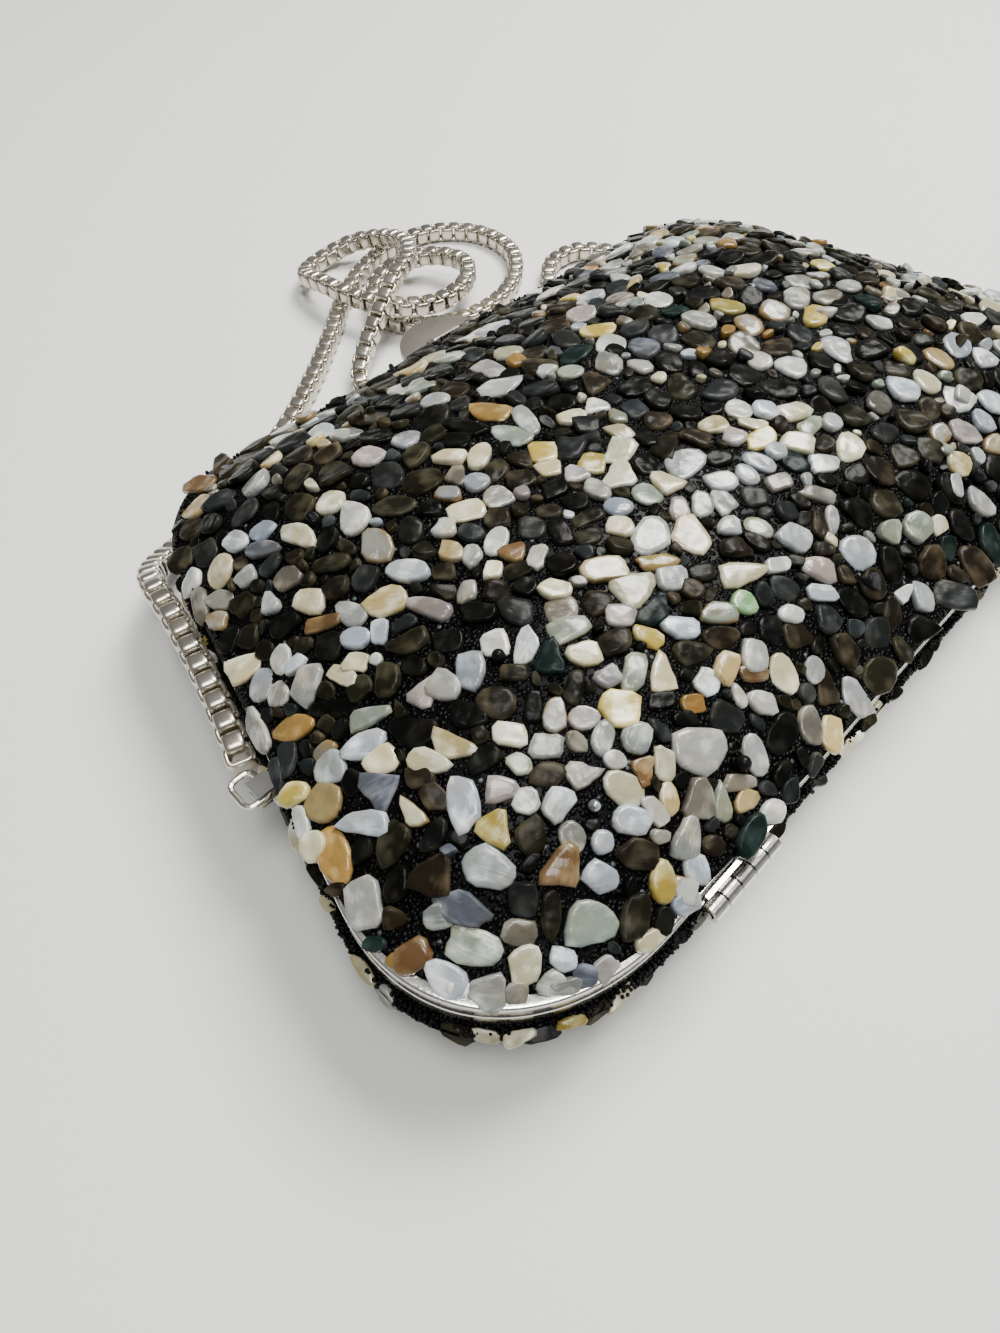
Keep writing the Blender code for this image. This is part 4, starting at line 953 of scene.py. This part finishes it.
    ("graphite", 757, 496, 30, 20, 0, 4), ("smoke", 827, 479, 22, 15, -10, 0),
    ("taupe", 819, 494, 42, 14, -12, 4), ("white", 739, 408, 25, 19, 0, 0),
    ("blueWhite", 766, 409, 22, 19, 0, 0), ("cream", 754, 422, 34, 10, -5, 4),
    ("cream", 793, 411, 30, 22, 20, 4), ("sage", 810, 425, 26, 19, 20, 4),
    ("white", 832, 422, 20, 18, 0, 0),
]
seenSettings = {
    "rows": (0.004, 0.98, 320),   # of the places searched: first and last share of the section, and count
    "around": 1500,
    "lift": 0.5,                  # of the seen middle over the ground
    "step": 0.5,                  # on the surface, for the picture's change there
    "growth": 1.03,
    "narrowest": 0.9,             # limits of half a chip's width and length
    "widest": 3.6,
    "longest": 4.6,
    "between": 40,                # how far from a listed chip, in the picture, a loose one is dimmed
    "clear": 45,                  # and how far the chips on top keep from it
    "dimmed": 0.9,
    "dimKinds": ("smoke", "smoke", "olive", "graphite", "umber"),
}


def spreadPoints(section, half, count, rng, lowest):
    # random places with the same chance for each bit of area
    highest, rows, columns = 0.999, 121, 721
    sSteps, tSteps = np.linspace(lowest, highest, rows), np.linspace(0, 1, columns)
    grid = sectionPoint(section, half, sSteps[:, None], tSteps[None, :])
    area = np.linalg.norm(np.cross(grid[1:, :-1] - grid[:-1, :-1], grid[:-1, 1:] - grid[:-1, :-1]), axis=-1)
    cell = rng.choice(area.size, count, p=area.ravel() / area.sum())
    row, column = np.unravel_index(cell, area.shape)
    s = sSteps[row] + rng.random(count) * (sSteps[1] - sSteps[0])
    t = tSteps[column] + rng.random(count) * (tSteps[1] - tSteps[0])
    return s, t


def chipSet(s, t, long, wide, turn, corners, kind):
    return {"s": s, "t": t, "long": long, "wide": wide, "turn": turn, "corners": corners, "kind": kind}


def joinSets(*sets):
    return {key: np.concatenate([one[key] for one in sets]) for key in sets[0]}


def placeSeen(section, entries):
    # each listed chip takes the point of the surface that the camera sees there; its two sizes and its
    # direction go from the picture onto the surface by the picture's change for a small step on it
    s, t = np.meshgrid(np.linspace(*seenSettings["rows"]), np.linspace(0, 1, seenSettings["around"]),
                       indexing="ij")
    s, t = s.ravel(), t.ravel()
    place, normal, along = surfaceFrame(section, "front", s, t)
    tops = place + normal * seenSettings["lift"] * mm
    facing = ((cameraAxes(cameraView)[0] * mm - place) * normal).sum(-1) > 0
    s, t, place, normal, along, tops = (a[facing] for a in (s, t, place, normal, along, tops))
    picture = pictureOf(tops)
    spots = np.array([entry[1:3] for entry in entries], float)
    index = np.array([np.argmin(((picture - spot) ** 2).sum(-1)) for spot in spots])
    s, t, place, normal, along, tops = (a[index] for a in (s, t, place, normal, along, tops))
    across = np.cross(normal, along)
    step = seenSettings["step"] * mm
    change = np.stack([pictureOf(tops + along * step) - pictureOf(tops),
                       pictureOf(tops + across * step) - pictureOf(tops)], -1) / step
    angle = np.radians([entry[5] for entry in entries])
    sizes = np.array([entry[3:5] for entry in entries], float) / 2 * seenSettings["growth"]
    toLong = np.stack([np.cos(angle), -np.sin(angle)], -1) * sizes[:, :1]
    toWide = np.stack([np.sin(angle), np.cos(angle)], -1) * sizes[:, 1:]
    longWay = np.linalg.solve(change, toLong[..., None])[..., 0]
    wideWay = np.linalg.solve(change, toWide[..., None])[..., 0]
    long = np.linalg.norm(longWay, axis=1)
    direction = longWay / long[:, None]
    wide = np.linalg.norm(wideWay - (wideWay * direction).sum(1, keepdims=True) * direction, axis=1)
    turn = np.arctan2(direction[:, 1], direction[:, 0])
    wide = np.clip(wide, seenSettings["narrowest"] * mm, seenSettings["widest"] * mm)
    long = np.clip(long, wide, seenSettings["longest"] * mm)
    corners = np.array([entry[6] for entry in entries])
    kinds = np.array(kindNumbers(entry[0] for entry in entries))
    return chipSet(s, t, long, wide, turn, corners, kinds)


def randomLooks(radius, rng):
    # stretch, turn, corners and kind of chips with the given radii
    low, high = chips["stretch"]
    stretch = np.sqrt(low + (high - low) * rng.random(len(radius)) ** chips["stretchPower"])
    shares = np.array([kind[0] for kind in chipKinds.values()])
    return (radius * stretch, radius / stretch, rng.random(len(radius)) * 2 * math.pi,
            rng.choice(list(chips["corners"]), len(radius), p=list(chips["corners"].values())),
            rng.choice(len(shares), len(radius), p=shares / shares.sum()))


def chipCircles(places, normal, along, these):
    # three circles along each chip's long side, as wide as the chip, stand for the room it takes
    across = np.cross(normal, along)
    turn = these["turn"][:, None]
    way = (along * np.cos(turn) + across * np.sin(turn)) * (these["long"] - these["wide"])[:, None]
    middles = np.concatenate([places - way, places, places + way])
    return middles, np.tile(these["wide"], 3)


def packChips(section, half, fixed, rng):
    # largest first, each loose chip takes the free place that leaves the least room beside it
    small, typical, large = (r * mm for r in chips["radius"])
    radii = np.clip(typical * np.exp(rng.normal(0, chips["spread"], chips["tries"])), small, large)
    s, t = spreadPoints(section, half, chips["candidates"], rng, chips["lowest"][half])
    places = sectionPoint(section, half, s, t)
    free = np.full(len(places), np.inf)          # room from each candidate to the nearest chip's edge
    taken, sizes = chipCircles(*surfaceFrame(section, half, fixed["s"], fixed["t"]), fixed)
    for middle, size in zip(taken, sizes):
        free = np.minimum(free, np.linalg.norm(places - middle, axis=1) - size * chips["fixedCrowding"])
    chosen, used = [], []
    for radius in np.sort(radii)[::-1]:
        slack = free - chips["crowding"] * radius
        fits = np.flatnonzero(slack > 0)
        if len(fits) == 0:
            continue
        tries = fits[rng.integers(0, len(fits), chips["compared"])]
        best = tries[np.argmin(slack[tries])]
        chosen.append(best)
        used.append(radius)
        free = np.minimum(free, np.linalg.norm(places - places[best], axis=1) - chips["crowding"] * radius)
    return chipSet(s[chosen], t[chosen], *randomLooks(np.array(used), rng))


def chipOutlines(these, rng):
    # a rounded polygon: the inverse of the summed powers of its sides' distances, with slow dents, brought
    # to the mean radius of one and stretched to the chip's length and width
    count, sides = len(these["s"]), chips["sides"]
    angle = np.linspace(0, 2 * math.pi, sides, endpoint=False)[None]
    power = chips["cornerPower"]
    triangle = these["corners"] == 3
    total = np.full((count, sides), chips["roundReach"] ** -power)
    for side in range(max(chips["corners"])):
        inUse = (side < these["corners"])[:, None]
        way = (2 * math.pi * side / np.maximum(these["corners"], 1)
               + rng.normal(0, chips["cornerTurn"], count) + triangle * math.pi / 3)[:, None]
        reach = (np.where(triangle, chips["triangleReach"], chips["sideReach"])[:, None]
                 * (1 + rng.normal(0, chips["reachSpread"], (count, 1))))
        total += np.where(inUse, (np.maximum(np.cos(angle - way), 0) / reach) ** power, 0)
    radius = total ** (-1 / power)
    for fold, size in enumerate(chips["dents"], start=2):
        radius = radius * (1 + size * rng.normal(0, 1, (count, 1)).clip(-2, 2)
                           * np.cos(fold * angle + rng.random((count, 1)) * chips["dentStart"]))
    radius /= radius.mean(1, keepdims=True)
    return radius * np.cos(angle) * these["long"][:, None], radius * np.sin(angle) * these["wide"][:, None]


def easeBack(u, v, place, first, second, these, circles, fixedCount):
    # each outline point of a loose chip comes back from the line between it and its near neighbours
    neighbours, slack, power, ownStretch = 16, 1.10, 8.0, 1.25
    middles, sizes = circles
    own = np.minimum(these["long"], these["wide"] * ownStretch)
    gaps = np.linalg.norm(place[:, None] - middles[None], axis=-1)
    gaps[np.tile(np.arange(len(place))[:, None], 3), np.arange(len(place))[:, None]
         + np.array([0, 1, 2])[None] * len(place)] = np.inf
    near = np.argsort(gaps, axis=1)[:, :neighbours]
    apart = middles[near] - place[:, None]
    x, y = np.einsum("ijk,ik->ij", apart, first), np.einsum("ijk,ik->ij", apart, second)
    distance = np.hypot(x, y)
    limit = slack * distance * own[:, None] / (own[:, None] + sizes[near])
    limit = np.maximum(limit, distance - sizes[near])
    towards = (u[:, :, None] * (x / distance)[:, None] + v[:, :, None] * (y / distance)[:, None])
    pressure = (np.maximum(towards, 0) / limit[:, None]) ** power
    ease = (1 + pressure.sum(-1)) ** (-1 / power)
    ease[:fixedCount] = 1.0
    return u * ease, v * ease


def chipColours(these, perChip, rng):
    # which chips are dark, and each chip's two colours and look, repeated for all its points; some pale
    # chips have a stained rim for their second colour
    count, kinds = len(these["s"]), list(chipKinds.values())
    jitter = np.exp(rng.normal(0, chips["toneSpread"], (count, 1)))
    warmth = 1 + rng.normal(0, chips["warmthSpread"], (count, 1)) * np.array([1.0, 0.0, -1.0])[None]
    main = np.array([kind[1] for kind in kinds])[these["kind"]] * jitter * warmth
    accent = np.array([kind[2] for kind in kinds])[these["kind"]] * jitter * warmth
    dark = np.isin(these["kind"], darkKinds)
    stained = (rng.random(count) < chips["stained"]) & ~dark
    accent[stained] = chips["stain"]
    weights = np.array([kind[3:6] for kind in kinds])[these["kind"]]
    weights[stained, 1] = chips["stainReach"]
    look = np.repeat(weights[:, None], perChip, 1)
    # on dark chips the share at the edge paints a lighter rim for light showing through them
    look[..., 1] *= np.append(np.repeat(edgeGlowAndTone, chips["sides"]), [0.0, 1.0])[None]
    main, accent = (np.concatenate([colour.clip(0, chips["brightest"]), np.ones((count, 1))], 1)
                    for colour in (main, accent))
    return dark, np.repeat(main[:, None], perChip, 1), np.repeat(accent[:, None], perChip, 1), look


def chipMesh(name, half, section, these, fixedCount, lift, rng):
    # rings over each chip's outline from its foot to its crown, then its top and underside; each chip lies
    # between a flat plate and a pebble, thicker at one end, and leans a little
    count, sides = len(these["s"]), chips["sides"]
    place, normal, along = surfaceFrame(section, half, these["s"], these["t"])
    turn = these["turn"][:, None]
    first = along * np.cos(turn) + np.cross(normal, along) * np.sin(turn)
    second = np.cross(normal, first)
    u, v = chipOutlines(these, rng)
    if fixedCount is not None:
        circles = chipCircles(place, normal, along, these)
        u, v = easeBack(u, v, place, first, second, these, circles, fixedCount)
    calm = np.where(np.arange(count) < (fixedCount or 0), chips["calm"], 1.0)[:, None]
    most = chips["mostLean"]
    lean = rng.normal(0, chips["lean"], (count, 2)).clip(-most, most) * calm
    lean *= np.minimum(1.0, chips["leanLength"] * mm / these["long"])[:, None]
    normal = normal + first * lean[:, :1] + second * lean[:, 1:]
    normal /= np.linalg.norm(normal, axis=1, keepdims=True)
    first = first - normal * (first * normal).sum(1, keepdims=True)
    first /= np.linalg.norm(first, axis=1, keepdims=True)
    second = np.cross(normal, first)
    thin, thick = chips["thickness"]
    thickness = (thin + (thick - thin) * rng.random(count)) * mm
    pebble = rng.random((count, 1)) ** chips["pebblePower"]     # 0 is a flat plate, 1 a rounded pebble
    spread = (plateSpread + (pebbleSpread - plateSpread) * pebble)[:, :, None]
    rise = np.repeat(plateHeight + (pebbleHeight - plateHeight) * pebble, sides, axis=1)
    u, v = (u[:, None] * spread).reshape(count, -1), (v[:, None] * spread).reshape(count, -1)
    u, v = (np.concatenate([a, np.zeros((count, 2))], 1) for a in (u, v))
    rise = np.concatenate([rise, plateTop + pebbleRise * pebble, np.full((count, 1), footMiddle)], 1)
    most = chips["mostWedge"]
    wedge = rng.normal(0, chips["wedge"], (count, 1)).clip(-most, most) * calm
    heights = rise * thickness[:, None] * (1 + wedge * u / these["long"][:, None])
    bend = rng.normal(0, chips["bend"], (count, 1))
    heights = heights + bend * (u ** 2 - v ** 2) + (lift - chips["sink"] * mm)[:, None]
    verts = (place[:, None] + first[:, None] * u[..., None] + second[:, None] * v[..., None]
             + normal[:, None] * heights[..., None])
    verts[..., 2] = np.clip(verts[..., 2], chips["floorGap"] * mm,
                            case["thickness"] * mm + chips["overTop"] * mm)
    rings = len(plateSpread)
    perChip = rings * sides + 2
    j = np.arange(sides)
    ahead = (j + 1) % sides
    last = (rings - 1) * sides
    caps = np.vstack([np.stack([last + j, last + ahead, np.full(sides, rings * sides)], -1),
                      np.stack([ahead, j, np.full(sides, rings * sides + 1)], -1)])
    dark, main, accent, look = chipColours(these, perChip, rng)
    seed = rng.random((count, 1)) * chips["farthest"]
    local = np.stack([u / mm + seed, v / mm + seed * 0.7, heights / mm * 0.6 + seed * 0.3], -1)
    pieces = []
    for label, part, material in (("Pale", ~dark, paleShell), ("Dark", dark, darkShell)):
        offset = (np.arange(part.sum()) * perChip)[:, None, None]
        faces = [(gridFaces(rings, sides)[None] + offset).reshape(-1, 4),
                 (caps[None] + offset).reshape(-1, 3)]
        pieces.append(addMesh(name + label, verts[part], faces, material, {
            "chipMain": ("FLOAT_COLOR", main[part]), "chipSecond": ("FLOAT_COLOR", accent[part]),
            "chipLook": ("FLOAT_VECTOR", look[part]), "chipPlace": ("FLOAT_VECTOR", local[part])}))
    return pieces


edgeChips = {
    "s": (0.037, 0.055),          # share of the section
    "step": 3.7,
    "slip": 0.15,                 # of a step
    "kept": 0.72,
    "long": (1.4, 2.8),
    "wide": (0.7, 1.1),
    "turn": 0.16,
    "corners": (0, 4, 5),
    "lift": 0.25,
    "linePoints": 2000,
    "kinds": ("cream", "smoke", "cream", "olive", "yellow", "cream", "graphite", "pearl", "umber"),
}


def edgeRow(half, section, rng):
    # chips sewn end to end just under the back's beaded edge, long sides along it
    points, slip = edgeChips["linePoints"], edgeChips["slip"]
    shares = np.linspace(0, 1, points)
    line = sectionPoint(section, half, np.mean(edgeChips["s"]), shares) / mm
    places, length = evenPath(np.column_stack([line, shares]), points)
    count = int(length / edgeChips["step"])
    t = np.interp((np.arange(count) + rng.uniform(-slip, slip, count)) / count, shares, places[:, 3]) % 1.0
    t = t[rng.random(count) < edgeChips["kept"]]
    count = len(t)
    kind = rng.choice(kindNumbers(edgeChips["kinds"]), count)
    return chipSet(rng.uniform(*edgeChips["s"], count), t, rng.uniform(*edgeChips["long"], count) * mm,
                   rng.uniform(*edgeChips["wide"], count) * mm, rng.normal(0, edgeChips["turn"], count),
                   rng.choice(edgeChips["corners"], count), kind)


def dimBetween(section, half, these, fixedCount, rng):
    # most loose chips between the listed ones are dark
    seen = pictureOf(sectionPoint(section, half, these["s"], these["t"]))
    away = np.linalg.norm(seen[:, None] - seen[None, :fixedCount], axis=-1).min(1)
    dim = (away < seenSettings["between"]) & (rng.random(len(away)) < seenSettings["dimmed"])
    dim[:fixedCount] = False
    these["kind"][dim] = rng.choice(kindNumbers(seenSettings["dimKinds"]), dim.sum())


chipRoom = {}
for half in ("back", "front"):
    rng = np.random.default_rng(chips["seed"][half])
    section = domeSection(half, ground["below"])
    fixed = placeSeen(section, seenChips) if half == "front" else edgeRow(half, section, rng)
    these = joinSets(fixed, packChips(section, half, fixed, rng))
    flat = np.zeros(len(these["s"]))
    if half == "back":
        flat[:len(fixed["s"])] = edgeChips["lift"] * mm
    else:
        dimBetween(section, half, these, len(fixed["s"]), rng)
    for piece in chipMesh(half + "Chips", half, section, these, len(fixed["s"]), flat, rng):
        dress(piece, half + "_half", "shell_chip_cover", half + "_cover")
    chipRoom[half] = chipCircles(*surfaceFrame(section, half, these["s"], these["t"]), these)
    s, t = spreadPoints(section, half, chips["uppers"], rng, chips["upperLowest"])
    if half == "front":                          # none over the listed chips
        seen = pictureOf(sectionPoint(section, half, s, t))
        marks = np.array([entry[1:3] for entry in seenChips])
        clear = np.linalg.norm(seen[:, None] - marks[None], axis=-1).min(1) > seenSettings["clear"]
        s, t = s[clear], t[clear]
    radius = rng.uniform(*chips["upperRadius"], len(s)) * mm
    lift = rng.uniform(*chips["upperLift"], len(s)) * mm
    upper = chipSet(s, t, *randomLooks(radius, rng))
    for piece in chipMesh(half + "UpperChips", half, section, upper, None, lift, rng):
        dress(piece, half + "_half", "shell_chip_cover")
    print(half, "chips:", len(these["s"]), "and", len(s))

# Seed beads

beads = {
    "radius": 0.36,
    "sizes": (0.80, 1.12),        # smallest and largest, of the radius
    "spacing": 0.76,
    "jitter": 0.11,
    "linePoints": 2001,
    "chipRoom": 0.98,             # of the width of a chip's circles
    "tuck": 0.2,                  # how far the hem's beads go under the chips
    "sewn": 0.92,                 # share of the hem's beads that are there
    "candidates": 6000,
    "loose": 1500,                # loose beads at most
    "looseLowest": 0.01,
    "looseSize": 0.72,
    "sunk": 0.4,                  # of the radius, for loose beads
    "seed": {"back": 21, "front": 22},
}


def makeGlass():
    # opaque black glass, each bead a little different
    glass = Surface("blackGlass", Specular_IOR_Level=0.09)
    speck = glass.noise(glass.place(), 900.0, 1.0)
    glass.set("Roughness", (speck * 0.25 + 0.12).clamp())
    glass.set("Base Color", glass.mix(speck, (0.002, 0.002, 0.0025), (0.010, 0.010, 0.011)))
    return glass.material


blackGlass = makeGlass()


def ballTemplate(segments, rings):
    # a ball as latitude rings and two poles
    latitude = np.linspace(0, math.pi, rings + 1)[1:-1][:, None]
    longitude = np.linspace(0, 2 * math.pi, segments, endpoint=False)[None]
    verts = np.stack([np.sin(latitude) * np.cos(longitude), np.sin(latitude) * np.sin(longitude),
                      np.cos(latitude) * np.ones_like(longitude)], -1).reshape(-1, 3)
    verts = np.vstack([verts, (0, 0, 1), (0, 0, -1)])
    quads = gridFaces(rings - 1, segments)[:, ::-1]
    j = np.arange(segments)
    last = (rings - 2) * segments
    north, south = len(verts) - 2, len(verts) - 1
    caps = np.vstack([np.stack([j, (j + 1) % segments, np.full(segments, north)], -1),
                      np.stack([last + (j + 1) % segments, last + j, np.full(segments, south)], -1)])
    return verts, quads, caps


def strew(name, places, radius, material, segments, rings):
    # a ball at every place
    verts, quads, caps = ballTemplate(segments, rings)
    offset = (np.arange(len(places)) * len(verts))[:, None, None]
    return addMesh(name, places[:, None] + verts[None] * radius[:, None, None],
                   [(quads[None] + offset).reshape(-1, 4), (caps[None] + offset).reshape(-1, 3)], material)


def beadRow(half, share, lift, rng):
    # places at even steps once round the case over one line of the ground, each a little out of line
    around = np.linspace(0, 1, beads["linePoints"])
    place, normal, _ = surfaceFrame(domeSection(half, ground["below"]), half, share, around)
    line = place / mm + normal * lift
    _, length = evenPath(line, len(line))
    line, _ = evenPath(line, int(length / beads["spacing"]) + 1)
    return line[:-1] + rng.normal(0, beads["jitter"], (len(line) - 1, 3))


def roomBeside(half, places):
    # how far each place lies outside the room that the chips take
    room = np.full(len(places), np.inf)
    for middle, size in zip(*chipRoom[half]):
        room = np.minimum(room, np.linalg.norm(places - middle, axis=1) - beads["chipRoom"] * size)
    return room


def looseBeads(half, rng):
    # beads on the ground wherever no chip lies
    section = domeSection(half, ground["below"] - beads["radius"] * beads["sunk"])
    s, t = spreadPoints(section, half, beads["candidates"], rng, beads["looseLowest"])
    places = sectionPoint(section, half, s, t)
    return places[roomBeside(half, places) > 0][:beads["loose"]]


# rows of beads round each cover's edge: share of the ground's section, and height above the ground
beadRows = {
    "back": [(0.012, 0.25), (0.022, 0.25), (0.032, 0.25), (0.042, 0.25), (0.051, 0.25), (0.060, 0.25),
             (0.070, 0.25), (0.017, 0.80), (0.027, 0.80), (0.037, 0.75), (0.046, 0.65)],
    "front": [(0.012, 0.20)],
}
for half in ("back", "front"):
    rng = np.random.default_rng(beads["seed"][half])
    rows = np.vstack([beadRow(half, share, lift, rng) for share, lift in beadRows[half]]) * mm
    hem = rows[(roomBeside(half, rows) > -beads["tuck"] * mm) & (rng.random(len(rows)) < beads["sewn"])]
    loose = looseBeads(half, rng)
    for label, places, share in (("HemBeads", hem, 1.0), ("Beads", loose, beads["looseSize"])):
        size = rng.uniform(*beads["sizes"], len(places)) * beads["radius"] * share * mm
        places[:, 2] = np.maximum(places[:, 2], size)
        dress(strew(half + label, places, size, blackGlass, 6, 4), half + "_half", "shell_chip_cover")
    print(half, "beads:", len(hem), "and", len(loose))

# single round beads seen between the chips, listed one by one: middle across and down the picture, and radius
jetBeads = [(740, 763, 1.15), (499, 657, 0.95)]
crystal = (594, 807, 0.85)


def roundBead(name, entries, material):
    # balls sunk a little into the front's ground where the camera sees those places
    middleHeight = 0.9
    section = domeSection("front", ground["below"])
    found = placeSeen(section, [("white", x, y, 2, 2, 0, 0) for x, y, _ in entries])
    place, normal, _ = surfaceFrame(section, "front", found["s"], found["t"])
    radius = np.array([entry[2] for entry in entries]) * mm
    piece = strew(name, place + normal * radius[:, None] * middleHeight, radius, material, 20, 12)
    return dress(piece, "front_half", "shell_chip_cover")


roundBead("jetBeads", jetBeads, blackGlass)
silvered = Surface("silveredGlass", Base_Color=(0.50, 0.56, 0.58), Metallic=0.6, Roughness=0.08)
# painted reflections: random cells of near black and pale silver stand in for a clear crystal's facets
# catching dark and light
paintedFacetLight = silvered.node("TexVoronoi", {"feature": "F1"}, {"Vector": silvered.place(), "Scale": 1500.0}, "Color")
silvered.set("Base Color", silvered.mix(paintedFacetLight, (0.05, 0.06, 0.06), (0.62, 0.68, 0.70)))
roundBead("crystal", [crystal], silvered.material)

# Hinges, clasp and eyes

paint(nickel, *(name for name in nodes if name.startswith(("hinge_", "chain_eye_"))),
      "clasp_bracket", "clasp_pin", "clasp_keeper")
paint(claspNickel, "clasp_lever")
paint(springSteel, "clasp_spring")

tongue = {
    "radius": 11.1,
    "centreOut": 3.0,             # its middle, from the case's side
    "foot": -0.08,                # from the parting plane
    "crown": 0.35,
    "root": 1.5,                  # where the dome starts, from the case's side
    "rootFade": 2.5,
    "rings": 14,
    "around": 96,
}


def tongueFace():
    # a shallow dome over the tongue's half round: height falls with the fourth power of the radius
    share = np.linspace(0, 1, tongue["rings"])[:, None]
    angle = np.linspace(0, 2 * math.pi, tongue["around"], endpoint=False)[None]
    x = tongue["radius"] * share * np.cos(angle)
    y = tongue["radius"] * share * np.sin(angle)
    root = tongue["root"] - tongue["centreOut"]
    y = np.maximum(y, root)
    z = tongue["crown"] * (1 - share ** 4) * np.clip((y - root) / tongue["rootFade"], 0, 1)
    verts = np.stack([x, y + halfDepth + tongue["centreOut"], z + partingZ + tongue["foot"]], -1)
    faces = gridFaces(tongue["rings"], tongue["around"])
    return addMesh("tongueFace", verts * mm, [faces], claspNickel)


dress(tongueFace(), "clasp", "polished_nickel")

# Floor and light

room = {
    "floorSize": 3000.0,
    "floorColour": (0.78, 0.78, 0.762),
    "mottle": 0.985,              # the darker tone's share of the floor's colour
    "worldColour": (0.97, 0.98, 0.97, 1.0),
    "worldStrength": 0.23,
    # place, size, power and colour; both lights face the middle of the scene
    "lights": {
        "windowLight": ((560, 60, 900), 460, 21.6, (1.0, 0.985, 0.94)),
        "ceilingLight": ((-120, -160, 1000), 360, 7.2, (1.0, 1.0, 0.97)),
    },
}


def addFloor():
    # a level sheet with a very faint mottle
    half = room["floorSize"] / 2 * mm
    board = Surface("paleBoard", Base_Color=room["floorColour"], Roughness=0.6)
    mottle = board.noise(board.place(), 30.0, 5.0)
    darker = tuple(c * room["mottle"] for c in room["floorColour"])
    board.set("Base Color", board.mix(mottle, darker, room["floorColour"]))
    floor = addMesh("floor", [(-half, -half, 0), (half, -half, 0), (half, half, 0), (-half, half, 0)],
                    [[(0, 1, 2, 3)]], board.material)


def addLight(name, place, size, power, colour):
    data = bpy.data.lights.new(name, "AREA")
    data.shape = "RECTANGLE"
    data.size, data.size_y = size * mm, size * mm
    data.energy = power
    data.color = colour
    lamp = bpy.data.objects.new(name, data)
    bpy.context.scene.collection.objects.link(lamp)
    lamp.location = Vector(place) * mm
    lamp.rotation_euler = Vector(place).to_track_quat("Z", "Y").to_euler()


addFloor()
for name, values in room["lights"].items():
    addLight(name, *values)
world = bpy.data.worlds.new("softRoom")
bpy.context.scene.world = world
world.use_nodes = True
background = world.node_tree.nodes["Background"]
background.inputs["Color"].default_value = room["worldColour"]
background.inputs["Strength"].default_value = room["worldStrength"]

print("pieces done")
